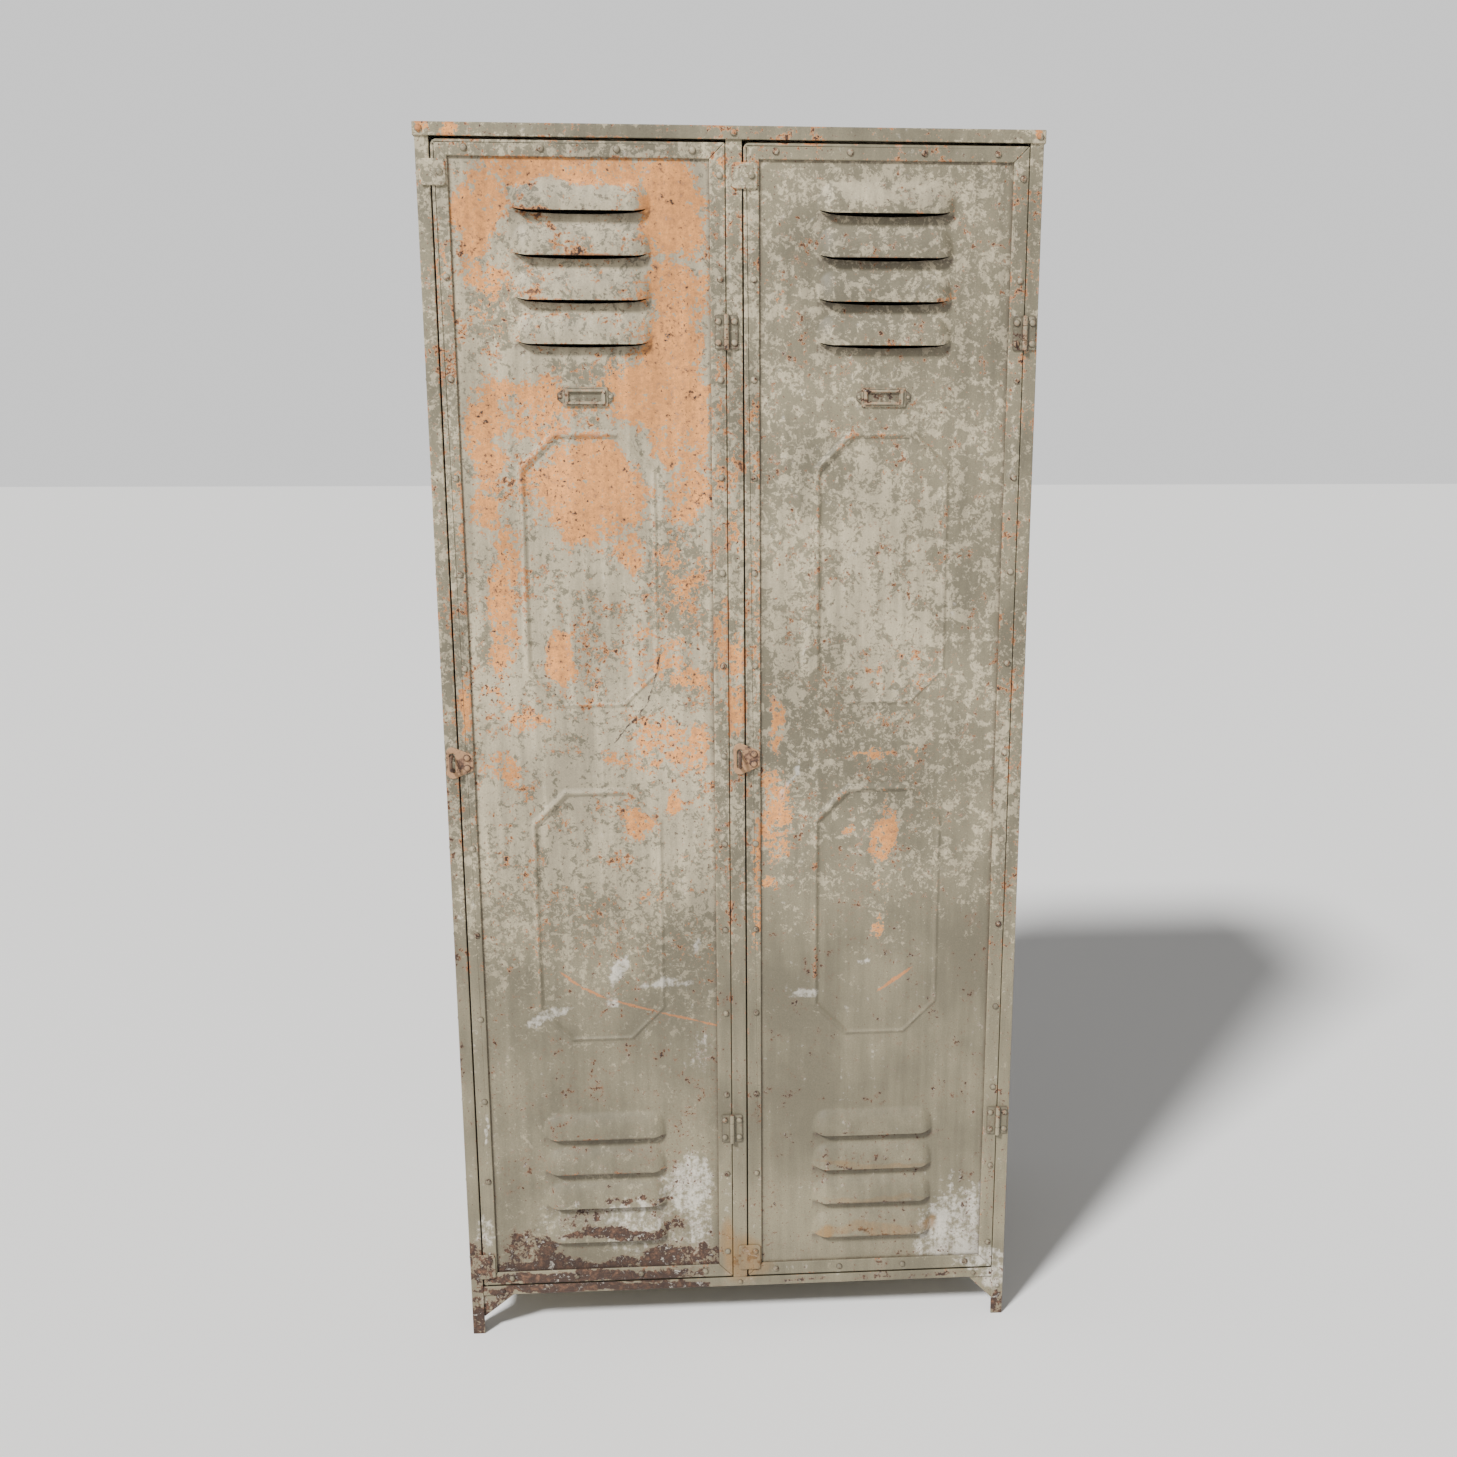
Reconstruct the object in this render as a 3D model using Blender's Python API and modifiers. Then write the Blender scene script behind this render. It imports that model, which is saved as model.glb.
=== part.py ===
"""Riveted two-door steel locker cabinet, in metres, +Z up, front towards -Y.

The origin is on the floor, under the middle of the whole cabinet. The carcass is
sheet steel riveted to four angle-iron posts, which run on down as the legs. Each
door is a pressed sheet in an angle-iron frame, hung at its right-hand side on two
butt hinges, and closed at its left by a hasp that drops over a fixed staple.
"""

import math

import bmesh
import bpy
from mathutils import Matrix, Vector

MM = 0.001
GAP = 0.3 * MM  # air kept between two pieces that touch on the real cabinet

# The whole cabinet
WIDTH = 850 * MM  # over the band round the top
DEPTH = 500 * MM  # over the band round the top
HEIGHT = 1800 * MM
BAND_HEIGHT = 17.5 * MM
BAND_OVERHANG = 2.5 * MM  # band beyond the posts, all round
STAPLE_REACH = 19.5 * MM  # how far a staple stands out from the posts' front
SHEET = 1.2 * MM
BAR = 3 * MM  # thickness of the angle iron and flat bar

# Posts, stile and floor
POST_FRONT = 18.5 * MM  # post flange that shows in front
POST_SIDE = 20 * MM  # post flange that shows at the side
STILE_WIDTH = 22 * MM
STILE_WEB = 17 * MM
FLOOR_TOP = 82 * MM
FLOOR_LIP = 15 * MM
GUSSET_WIDTHS = {"left": 68 * MM, "right": 57 * MM}
GUSSET_FOOT = 28 * MM  # height above the ground of the gusset's lower corner
GUSSET_BAR = 2.5 * MM

# Fittings inside
SHELF_TOP = 1470 * MM
SHELF_LIP = 16 * MM
SHELF_SETBACK = 12 * MM  # behind the door frames
RAIL_HEIGHT = 1410 * MM
RAIL_RADIUS = 8 * MM
SOCKET_RADIUS = 14 * MM
SOCKET_BORE = 8.7 * MM
SOCKET_LENGTH = 10 * MM

# Doors
DOOR_WIDTH = 390 * MM
DOOR_BOTTOM = 85 * MM
DOOR_TOP = 1779 * MM
HINGE_SIDE_GAP = 1 * MM
DOOR_BAR_WIDTH = 21 * MM
DOOR_BAR_DEPTH = 16 * MM

# Rivets
RIVET_HEIGHT = 2 * MM
RIVET_RADIUS = 4.2 * MM
RIVET_CROWN = 2.4 * MM
RIVET_PITCH = 134 * MM
RIVET_TOP = 1737 * MM
RIVET_COUNT = 13
CROSS_RIVET_PITCH = 101 * MM
RIVET_EDGE = 9 * MM  # from the outer edge of a post's flange
RAIL_RIVET = 49 * MM  # from the posts' outer faces, on the bottom rails
LEG_RIVET = 50 * MM
BAND_RIVET = 9 * MM  # from the ends of the band
LOCK_RIVET = 13.5 * MM  # from the door's free edge
HINGE_RIVET = 7.5 * MM  # from the door's hinge edge

# Louvres and pressed beads in the door sheet
LOUVRE_WIDTH = 188 * MM
LOUVRE_HEIGHT = 38 * MM
LOUVRE_DEPTH = 9 * MM
LOUVRE_WAIST = 0.72  # depth at half height, as a part of the depth at the lip
LOUVRE_SHOULDER = 14 * MM  # how far the ends slope in
LOUVRE_PITCH = 58 * MM
LOUVRE_TOP_LIPS = {  # lip of the highest louvre in each bank
    "left": (1690 * MM, 332 * MM),
    "right": (1690 * MM, 326 * MM),
}
LOUVRES_PER_BANK = 4
BEAD_WIDTH = 194 * MM
BEAD_CHAMFER = 50 * MM
BEAD_THICK = 10 * MM
BEAD_RISE = 2.5 * MM
BEAD_SPANS = ((1006 * MM, 1400 * MM), (489 * MM, 886 * MM))

# Label holder
LABEL_HEIGHT = 1446 * MM
LABEL_BODY = (62 * MM, 26 * MM)
LABEL_EAR = 77 * MM
LABEL_WINDOW = (43 * MM, 12 * MM)
LABEL_THICK = 2 * MM
LABEL_SLOT = 0.9 * MM  # thickness of the card's slot
LABEL_EAR_TIP = 10 * MM  # height of the cut-off tip of each ear
LABEL_EAR_ROOT = 20 * MM  # height of each ear where it leaves the body
LABEL_RIVET = 3.2 * MM  # from the body's end

# Hinges
HINGE_HEIGHTS = (1533 * MM, 341 * MM)
HINGE_TALL = 46 * MM
HINGE_LEAF = 2 * MM
HINGE_REACH = 16 * MM  # leaf edge from the pin's axis
KNUCKLE_RADIUS = 4 * MM
KNUCKLE_BORE = 2.4 * MM
PIN_RADIUS = 2 * MM
MIDDLE_KNUCKLE = 20 * MM
AXIS_OUT = 4.5 * MM  # pin's axis in front of the doors' face
LEAF_RIVET = (11 * MM, 14 * MM)  # sideways from the axis, and up or down from the middle

# Hasp, staple and stop tabs
PLATE = 2 * MM
HASP_HEIGHT = 929 * MM
HASP_TALL = 47 * MM
HASP_NARROW = 26 * MM
HASP_ROUND = 9 * MM
HASP_NOSE = 4 * MM
HASP_INNER = 20 * MM  # from the door's edge in over the door
HASP_OUTER = 18.5 * MM  # from the door's edge out over the frame
HASP_RIVET = (11.5 * MM, 7.5 * MM)  # in from the door's edge, and up or down
SLOT_OFFSET = 9.5 * MM  # slot's middle from the door's edge
SLOT_WIDTH = 8 * MM
SLOT_TALL = 29 * MM
STAPLE_WIRE = 2.5 * MM
STAPLE_RADIUS = 10 * MM
TAB_OUTER = 16 * MM
TAB_INNER = 19 * MM
TOP_TAB = (1720 * MM, 1754 * MM)
BOTTOM_TAB = (97 * MM, 139 * MM)
TAB_ROUND = 5 * MM
TAB_RIVET = 11 * MM  # in from the door's edge

# Planes worked out from the sizes above
FRONT_Y = STAPLE_REACH - (STAPLE_REACH - BAND_OVERHANG + DEPTH) / 2
REAR_Y = FRONT_Y + DEPTH - 2 * BAND_OVERHANG
HALF = WIDTH / 2 - BAND_OVERHANG  # outer faces of the posts
POST_TOP = HEIGHT - 2 * MM - GAP
OPENING = HALF - POST_FRONT  # the posts' inner edges, seen from the front
DOOR_EDGES = {  # free edge and hinge edge of each door
    "left": (-STILE_WIDTH / 2 - HINGE_SIDE_GAP - DOOR_WIDTH, -STILE_WIDTH / 2 - HINGE_SIDE_GAP),
    "right": (OPENING - HINGE_SIDE_GAP - DOOR_WIDTH, OPENING - HINGE_SIDE_GAP),
}
SHEET_OUT = -BAR - GAP  # front of the door sheet, behind the frame's face

GREEN = (0.33, 0.34, 0.28, 1)
GREEN_WORN = (0.36, 0.34, 0.27, 1)
RUST = (0.30, 0.17, 0.10, 1)
STEEL = (0.35, 0.33, 0.30, 1)


# ---------------------------------------------------------------- tools

def collection(name):
    made = bpy.data.collections.new(name)
    bpy.context.scene.collection.children.link(made)
    return made


def finish(name, colour, roughness, metallic):
    material = bpy.data.materials.new(name)
    material.use_nodes = True
    shader = material.node_tree.nodes["Principled BSDF"]
    shader.inputs["Base Color"].default_value = colour
    shader.inputs["Roughness"].default_value = roughness
    shader.inputs["Metallic"].default_value = metallic
    return material


def forward(distance):
    """The y of a plane this far in front of the posts' front face."""
    return FRONT_Y - distance


class Builder:
    """Makes named pieces, each with its own material, under one parent empty."""

    def __init__(self, parts, cutters):
        self.parts = parts
        self.cutters = cutters
        self.parent = None

    def pivot(self, name, at):
        """Start a moving body: pieces made after this hang on an empty at its axis."""
        empty = bpy.data.objects.new(name, None)
        empty.location = at
        self.parts.objects.link(empty)
        self.parent = empty

    def add(self, name, mesh, colour=GREEN, roughness=0.62, metallic=0.1):
        """Put a mesh, given in world coordinates, into the scene as a piece."""
        piece = bpy.data.objects.new(name, mesh)
        mesh.materials.clear()
        mesh.materials.append(finish(name + "_finish", colour, roughness, metallic))
        middle = Vector(self.parent.location) if self.parent else Vector((0, 0, 0))
        mesh.transform(Matrix.Translation(-middle))
        piece.parent = self.parent
        self.parts.objects.link(piece)
        return piece

    def combine(self, piece, meshes, operation):
        """Join meshes to a piece, or cut them out of it."""
        for mesh in meshes:
            tool = bpy.data.objects.new(piece.name + "_tool", mesh)
            tool.hide_render = True
            tool.display_type = "WIRE"
            self.cutters.objects.link(tool)
            step = piece.modifiers.new(operation.title(), "BOOLEAN")
            step.operation = operation
            step.object = tool
            step.solver = "EXACT"

    def join(self, piece, *meshes):
        self.combine(piece, meshes, "UNION")

    def cut(self, piece, *meshes):
        self.combine(piece, meshes, "DIFFERENCE")


def mesh_from(form):
    mesh = bpy.data.meshes.new("shape")
    form.to_mesh(mesh)
    form.free()
    return mesh


def block(low, high):
    """A box between two corners."""
    form = bmesh.new()
    bmesh.ops.create_cube(form, size=1)
    size = [h - l for l, h in zip(low, high)]
    middle = [(h + l) / 2 for l, h in zip(low, high)]
    bmesh.ops.scale(form, vec=size, verts=form.verts)
    bmesh.ops.translate(form, vec=middle, verts=form.verts)
    return mesh_from(form)


TURNS = {  # outline's plane: how a flat curve is turned so that it lies there
    "XZ": Matrix.Rotation(math.pi / 2, 4, "X"),
    "XY": Matrix.Identity(4),
    "YZ": Matrix.Rotation(math.pi / 2, 4, "Z") @ Matrix.Rotation(math.pi / 2, 4, "X"),
}


def plate(plane, outlines, start, end):
    """Flat outlines in a plane, holes among them, extruded from start to end across it."""
    curve = bpy.data.curves.new("outline", "CURVE")
    curve.dimensions = "2D"
    curve.fill_mode = "BOTH"
    curve.extrude = abs(end - start) / 2
    for outline in outlines:
        spline = curve.splines.new("POLY")
        spline.points.add(len(outline) - 1)
        for point, (u, v) in zip(spline.points, outline):
            point.co = (u, v, 0, 1)
        spline.use_cyclic_u = True
    holder = bpy.data.objects.new("outline", curve)
    bpy.context.scene.collection.objects.link(holder)
    evaluated = holder.evaluated_get(bpy.context.evaluated_depsgraph_get())
    mesh = bpy.data.meshes.new_from_object(evaluated)
    bpy.data.objects.remove(holder)
    bpy.data.curves.remove(curve)
    form = bmesh.new()
    form.from_mesh(mesh)
    bmesh.ops.remove_doubles(form, verts=form.verts, dist=0.00001)
    bmesh.ops.recalc_face_normals(form, faces=form.faces)
    across = {"XZ": (0, 1, 0), "XY": (0, 0, 1), "YZ": (1, 0, 0)}[plane]
    move = Matrix.Translation(Vector(across) * (start + end) / 2)
    bmesh.ops.transform(form, matrix=move @ TURNS[plane], verts=form.verts)
    for face in form.faces:
        face.smooth = False
    form.to_mesh(mesh)
    form.free()
    return mesh


def rod(axis, at, radius, length, sides=16, end_radius=None):
    """A cylinder, or a cone where end_radius is given, centred at a point."""
    turn = {
        "X": Matrix.Rotation(math.pi / 2, 4, "Y"),
        "Y": Matrix.Rotation(math.pi / 2, 4, "X"),
        "Z": Matrix.Identity(4),
    }[axis]
    form = bmesh.new()
    bmesh.ops.create_cone(
        form,
        cap_ends=True,
        segments=sides,
        radius1=radius,
        radius2=radius if end_radius is None else end_radius,
        depth=length,
        matrix=Matrix.Translation(at) @ turn,
    )
    return mesh_from(form)


def angle_outline(edge, width, depth, face, back=-1):
    """An L in plan: a front flange from edge towards the middle, a side flange behind its edge.

    width is signed: it is negative where the front flange runs towards -X.
    """
    step = math.copysign(BAR, width)
    away = -back * depth
    thick = -back * BAR
    return [
        (edge, face),
        (edge + width, face),
        (edge + width, face + thick),
        (edge + step, face + thick),
        (edge + step, face + away),
        (edge, face + away),
    ]


FACINGS = {  # which way a rivet's head looks, and the turn that points a cone there
    "front": (Vector((0, -1, 0)), Matrix.Rotation(math.pi / 2, 4, "X")),
    "rear": (Vector((0, 1, 0)), Matrix.Rotation(-math.pi / 2, 4, "X")),
    "left": (Vector((-1, 0, 0)), Matrix.Rotation(-math.pi / 2, 4, "Y")),
    "right": (Vector((1, 0, 0)), Matrix.Rotation(math.pi / 2, 4, "Y")),
}


def rivet_heads(spots, facing="front", size=1):
    """Low domes at points on a surface, as one mesh, each with a root sunk into the metal."""
    way, turn = FACINGS[facing]
    sink = 1 * MM
    form = bmesh.new()
    for spot in spots:
        middle = Vector(spot) + way * (RIVET_HEIGHT * size - sink) / 2
        bmesh.ops.create_cone(
            form,
            cap_ends=True,
            segments=6,
            radius1=RIVET_RADIUS * size,
            radius2=RIVET_CROWN * size,
            depth=RIVET_HEIGHT * size + sink,
            matrix=Matrix.Translation(middle) @ turn,
        )
    return mesh_from(form)


def front_spots(pairs, face):
    """Rivet places from (x, z) pairs on a plane this far in front of the posts."""
    return [(x, forward(face), z) for x, z in pairs]


def arc(middle, radius, start, end, steps):
    """Points on an arc, angles in degrees, ends included."""
    for i in range(steps + 1):
        turn = math.radians(start + (end - start) * i / steps)
        yield middle[0] + radius * math.cos(turn), middle[1] + radius * math.sin(turn)


def rounded_rectangle(low, high, radius, steps=2):
    corners = (
        (high[0] - radius, high[1] - radius, 0),
        (low[0] + radius, high[1] - radius, 90),
        (low[0] + radius, low[1] + radius, 180),
        (high[0] - radius, low[1] + radius, 270),
    )
    return [p for x, z, turn in corners for p in arc((x, z), radius, turn, turn + 90, steps)]


def chamfered_rectangle(low, high, chamfer):
    (x0, z0), (x1, z1) = low, high
    return [
        (x1, z1 - chamfer), (x1 - chamfer, z1), (x0 + chamfer, z1), (x0, z1 - chamfer),
        (x0, z0 + chamfer), (x0 + chamfer, z0), (x1 - chamfer, z0), (x1, z0 + chamfer),
    ]


def side_rivet_heights():
    return [RIVET_TOP - i * RIVET_PITCH for i in range(RIVET_COUNT)]


# ---------------------------------------------------------------- carcass

def posts(make):
    """Four angle-iron posts, riveted to the sheets, whose lower ends are the legs."""
    for row, face, back in (("front", FRONT_Y, -1), ("rear", REAR_Y, 1)):
        for side, sign in (("left", -1), ("right", 1)):
            outline = angle_outline(sign * HALF, -sign * POST_FRONT, POST_SIDE, face, back)
            post = make.add(f"{row}_{side}_post", plate("XY", [outline], 0, POST_TOP))
            beside = face - back * (POST_SIDE - RIVET_EDGE)
            side_spots = [(sign * HALF, beside, z) for z in side_rivet_heights()]
            make.join(post, rivet_heads(side_spots, side))
            leg = [(sign * (HALF - RIVET_EDGE), face, LEG_RIVET)]
            if row == "rear":
                leg += [(sign * (HALF - RIVET_EDGE), face, z) for z in side_rivet_heights()]
            make.join(post, rivet_heads(leg, row))


def centre_stile(make):
    """A T bar between the doors; the partition is riveted to its web."""
    half, web = STILE_WIDTH / 2, BAR / 2
    outline = [
        (-half, forward(0)), (half, forward(0)), (half, forward(-BAR)), (web, forward(-BAR)),
        (web, forward(-STILE_WEB)), (-web, forward(-STILE_WEB)), (-web, forward(-BAR)),
        (-half, forward(-BAR)),
    ]
    make.add("centre_stile", plate("XY", [outline], FLOOR_TOP + GAP, POST_TOP))


def top(make):
    """A flat bar bent round the posts' tops, with the top sheet flush inside it."""
    half = WIDTH / 2
    front, rear = FRONT_Y - BAND_OVERHANG, REAR_Y + BAND_OVERHANG
    wall = BAND_OVERHANG - GAP
    outer = [(-half, front), (half, front), (half, rear), (-half, rear)]
    inner = [
        (-half + wall, front + wall), (half - wall, front + wall),
        (half - wall, rear - wall), (-half + wall, rear - wall),
    ]
    band = make.add("top_band", plate("XY", [outer, inner], HEIGHT - BAND_HEIGHT, HEIGHT))
    spots = [(x, HEIGHT - BAND_HEIGHT / 2) for x in (BAND_RIVET - half, 0, half - BAND_RIVET)]
    make.join(band, rivet_heads(front_spots(spots, BAND_OVERHANG)))
    edge = wall + GAP
    make.add(
        "top_panel",
        block(
            (-half + edge, front + edge, POST_TOP + GAP),
            (half - edge, rear - edge, HEIGHT),
        ),
    )


def walls(make):
    """Side, back and middle sheets, inside the posts' flanges."""
    under = POST_TOP - GAP
    inner = HALF - BAR - GAP
    front, rear = FRONT_Y + BAR + GAP, REAR_Y - BAR - GAP
    low = FLOOR_TOP - FLOOR_LIP
    for side, sign in (("left", -1), ("right", 1)):
        edges = sorted((sign * inner, sign * (inner - SHEET)))
        make.add(f"{side}_side_panel", block((edges[0], front, low), (edges[1], rear, under)))
    reach = inner - SHEET - GAP
    make.add("back_panel", block((-reach, rear - SHEET, FLOOR_TOP + GAP), (reach, rear, under)))
    # The partition starts behind the stile's web and stops at the back sheet.
    make.add(
        "centre_partition",
        block(
            (-SHEET / 2, forward(-STILE_WEB - GAP), FLOOR_TOP + GAP),
            (SHEET / 2, rear - SHEET - GAP, under),
        ),
    )


def tray(low, high, lip):
    """A sheet with all four edges turned down: a thin box that is open below."""
    form = bmesh.new()
    bmesh.ops.create_cube(form, size=1)
    size = [h - l for l, h in zip(low, high)]
    bmesh.ops.scale(form, vec=(size[0], size[1], lip), verts=form.verts)
    middle = ((low[0] + high[0]) / 2, (low[1] + high[1]) / 2, high[2] - lip / 2)
    bmesh.ops.translate(form, vec=middle, verts=form.verts)
    form.faces.ensure_lookup_table()
    bottom = [face for face in form.faces if face.normal.z < -0.5]
    bmesh.ops.delete(form, geom=bottom, context="FACES_ONLY")
    return mesh_from(form)


def shell(piece, thickness):
    step = piece.modifiers.new("Sheet", "SOLIDIFY")
    step.thickness = thickness
    step.offset = -1
    step.use_even_offset = True


def floor_and_shelves(make):
    """The floor tray between the posts, and one hat shelf in each compartment."""
    inner = HALF - BAR - SHEET - 3 * GAP
    setback = BAR + GUSSET_BAR + 2 * GAP
    front, rear = FRONT_Y + setback, REAR_Y - setback
    floor = make.add("floor_tray", tray((-inner, front, 0), (inner, rear, FLOOR_TOP), FLOOR_LIP))
    shell(floor, SHEET)
    shelf_front = forward(-DOOR_BAR_DEPTH - SHELF_SETBACK)
    middle = SHEET / 2 + GAP
    for side, sign in (("left", -1), ("right", 1)):
        low, high = sorted((sign * middle, sign * inner))
        shelf = make.add(
            f"{side}_hat_shelf",
            tray((low, shelf_front, 0), (high, REAR_Y - BAR - SHEET - 2 * GAP, SHELF_TOP), SHELF_LIP),
        )
        shell(shelf, SHEET)


def bottom_rails(make):
    """Flat bars under the doors and under the back, between the posts."""
    edge = OPENING - GAP
    low = FLOOR_TOP - FLOOR_LIP
    rivet_x = HALF - RAIL_RIVET
    for row, face, back in (("front", FRONT_Y, -1), ("rear", REAR_Y, 1)):
        inner = face - back * BAR
        bar = make.add(
            row + "_bottom_rail", block((-edge, min(face, inner), low), (edge, max(face, inner), FLOOR_TOP))
        )
        spots = [(x, face, low + FLOOR_LIP / 2) for x in (-rivet_x, 0, rivet_x)]
        make.join(bar, rivet_heads(spots, row, 0.8))


def clothes_rails(make):
    """A tube across each compartment, in a round socket at either end."""
    wall = HALF - BAR - SHEET - 2 * GAP
    partition = SHEET / 2 + GAP
    y = (FRONT_Y + REAR_Y) / 2
    for side, sign in (("left", -1), ("right", 1)):
        ends = (("outer", sign * wall, -sign), ("inner", sign * partition, sign))
        for place, x, inwards in ends:
            at = (x + inwards * SOCKET_LENGTH / 2, y, RAIL_HEIGHT)
            ring = rod("X", at, SOCKET_RADIUS, SOCKET_LENGTH)
            socket = make.add(f"{side}_rail_{place}_socket", ring, STEEL, 0.5, 0.6)
            make.cut(socket, rod("X", at, SOCKET_BORE, SOCKET_LENGTH + 2 * MM))
        middle = (sign * (wall + partition) / 2, y, RAIL_HEIGHT)
        rail = rod("X", middle, RAIL_RADIUS, wall - partition - 2 * MM)
        make.add(f"{side}_clothes_rail", rail, STEEL, 0.45, 0.7)


def gussets(make):
    """Corner plates behind the legs' flanges and the bottom rails."""
    high = FLOOR_TOP - SHEET - GAP
    low = FLOOR_TOP - FLOOR_LIP
    wide = HALF - BAR - 2 * SHEET - 4 * GAP
    for row, face, back in (("front", FRONT_Y, -1), ("rear", REAR_Y, 1)):
        start = face - back * (BAR + GAP)
        end = start - back * GUSSET_BAR
        for side, sign in (("left", -1), ("right", 1)):
            tip = HALF - GUSSET_WIDTHS[side]
            corners = (
                (wide, GUSSET_FOOT), (OPENING, GUSSET_FOOT), (tip, low), (tip, high), (wide, high),
            )
            outline = [(sign * x, z) for x, z in corners]
            make.add(f"{row}_{side}_gusset", plate("XZ", [outline], start, end))


# ---------------------------------------------------------------- doors

def mitred_bar(edges, side):
    """One angle-iron bar of a door frame, its ends cut at 45 degrees to meet its neighbours."""
    left, right = edges
    low, high = DOOR_BOTTOM, DOOR_TOP
    if side in ("lock", "hinge"):
        edge, width = (left, DOOR_BAR_WIDTH) if side == "lock" else (right, -DOOR_BAR_WIDTH)
        outline = angle_outline(edge, width, DOOR_BAR_DEPTH, forward(0))
        mesh = plate("XY", [outline], low, high)
    else:
        edge, width = (high, -DOOR_BAR_WIDTH) if side == "top" else (low, DOOR_BAR_WIDTH)
        outline = [(y, z) for z, y in angle_outline(edge, width, DOOR_BAR_DEPTH, forward(0))]
        mesh = plate("YZ", [outline], left, right)
    middle = Vector(((left + right) / 2, 0, (low + high) / 2))
    form = bmesh.new()
    form.from_mesh(mesh)
    for corner_x, corner_z in ((left, low), (left, high), (right, low), (right, high)):
        lies_here = {
            "lock": corner_x == left, "hinge": corner_x == right,
            "top": corner_z == high, "bottom": corner_z == low,
        }[side]
        if not lies_here:
            continue
        inwards = Vector((middle.x - corner_x, 0, middle.z - corner_z))
        diagonal = Vector((math.copysign(1, inwards.x), 0, math.copysign(1, inwards.z)))
        across = Vector((diagonal.z, 0, -diagonal.x)).normalized()
        keep = Vector((0, 0, inwards.z)) if side in ("lock", "hinge") else Vector((inwards.x, 0, 0))
        if across.dot(keep) < 0:
            across = -across
        point = Vector((corner_x, 0, corner_z)) + across * GAP / 2
        cut = bmesh.ops.bisect_plane(
            form, geom=form.verts[:] + form.edges[:] + form.faces[:], dist=0.000001,
            plane_co=point, plane_no=across, clear_inner=True,
        )
        rim = [item for item in cut["geom_cut"] if isinstance(item, bmesh.types.BMEdge)]
        bmesh.ops.holes_fill(form, edges=rim)
    bmesh.ops.recalc_face_normals(form, faces=form.faces)
    form.to_mesh(mesh)
    form.free()
    return mesh


def louvre(centre, half, lip, profile, shoulder):
    """A profile of (distance in front, height above the lip), drawn out sideways.

    The ends slope in towards the front, by shoulder at the hood's full depth.
    """
    outline = [(forward(reach), lip + rise) for reach, rise in profile]
    form = bmesh.new()
    form.from_mesh(plate("YZ", [outline], centre - half, centre + half))
    for vert in form.verts:
        stands_out = max(0, forward(SHEET_OUT) - vert.co.y) / LOUVRE_DEPTH
        vert.co.x += math.copysign(shoulder * stands_out, centre - vert.co.x)
    return mesh_from(form)


def hood_and_hollow(centre, lip):
    """A louvre's outside, and the hollow that opens it below and through the sheet."""
    half = LOUVRE_WIDTH / 2
    full = SHEET_OUT + LOUVRE_DEPTH
    waist = SHEET_OUT + LOUVRE_WAIST * LOUVRE_DEPTH
    root = SHEET_OUT - SHEET / 2
    back = SHEET_OUT - SHEET - 1 * MM
    hood = [(root, 0), (full, 0), (waist, 0.5 * LOUVRE_HEIGHT), (root, LOUVRE_HEIGHT)]
    hollow = [
        (back, 1 * MM), (SHEET_OUT + 3 * MM, -3 * MM), (full - SHEET, -3 * MM), (full - SHEET, 0),
        (waist - SHEET, 0.5 * LOUVRE_HEIGHT), (back, LOUVRE_HEIGHT - 4 * MM),
    ]
    return (
        louvre(centre, half, lip, hood, LOUVRE_SHOULDER),
        louvre(centre, half - 7 * MM, lip, hollow, LOUVRE_SHOULDER - 5 * MM),
    )


def door_panel(make, name, edges, top_lips):
    """The door's sheet, with two banks of louvres and two pressed octagons."""
    left, right = edges
    centre = (left + right) / 2
    inset = BAR + GAP
    panel = make.add(
        name + "_panel",
        block(
            (left + inset, forward(SHEET_OUT), DOOR_BOTTOM + inset),
            (right - inset, forward(SHEET_OUT - SHEET), DOOR_TOP - inset),
        ),
    )
    hoods, hollows = [], []
    for first in top_lips:
        for i in range(LOUVRES_PER_BANK):
            hood, hollow = hood_and_hollow(centre, first - i * LOUVRE_PITCH)
            hoods.append(hood)
            hollows.append(hollow)
    for low, high in BEAD_SPANS:
        half = BEAD_WIDTH / 2
        outer = chamfered_rectangle((centre - half, low), (centre + half, high), BEAD_CHAMFER)
        half -= BEAD_THICK
        inner = chamfered_rectangle(
            (centre - half, low + BEAD_THICK), (centre + half, high - BEAD_THICK),
            BEAD_CHAMFER - 0.414 * BEAD_THICK,
        )
        bead = plate(
            "XZ", [outer, inner], forward(SHEET_OUT - SHEET / 2), forward(SHEET_OUT + BEAD_RISE)
        )
        hoods.append(bead)
    make.join(panel, *hoods)
    make.cut(panel, *hollows)


def door_frame(make, name, edges):
    """Four mitred bars with the rivets that hold the sheet."""
    left, right = edges
    lock_x, hinge_x = left + LOCK_RIVET, right - HINGE_RIVET
    heights = side_rivet_heights()
    under_fittings = (heights[0], heights[-1], min(heights, key=lambda z: abs(z - HASP_HEIGHT)))
    lock_spots = [(lock_x, z) for z in heights if z not in under_fittings]
    hinge_spots = [(hinge_x, z) for z in heights]
    cross = [(left + right) / 2 + CROSS_RIVET_PITCH * (i - 1.5) for i in range(4)]
    top_spots = [(x, DOOR_TOP - DOOR_BAR_WIDTH / 2) for x in cross]
    bottom_spots = [(x, DOOR_BOTTOM + DOOR_BAR_WIDTH / 2) for x in cross]
    for side, spots in (
        ("lock", lock_spots), ("hinge", hinge_spots), ("top", top_spots), ("bottom", bottom_spots),
    ):
        bar = make.add(f"{name}_{side}_bar", mitred_bar(edges, side))
        make.join(bar, rivet_heads(front_spots(spots, 0)))


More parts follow.
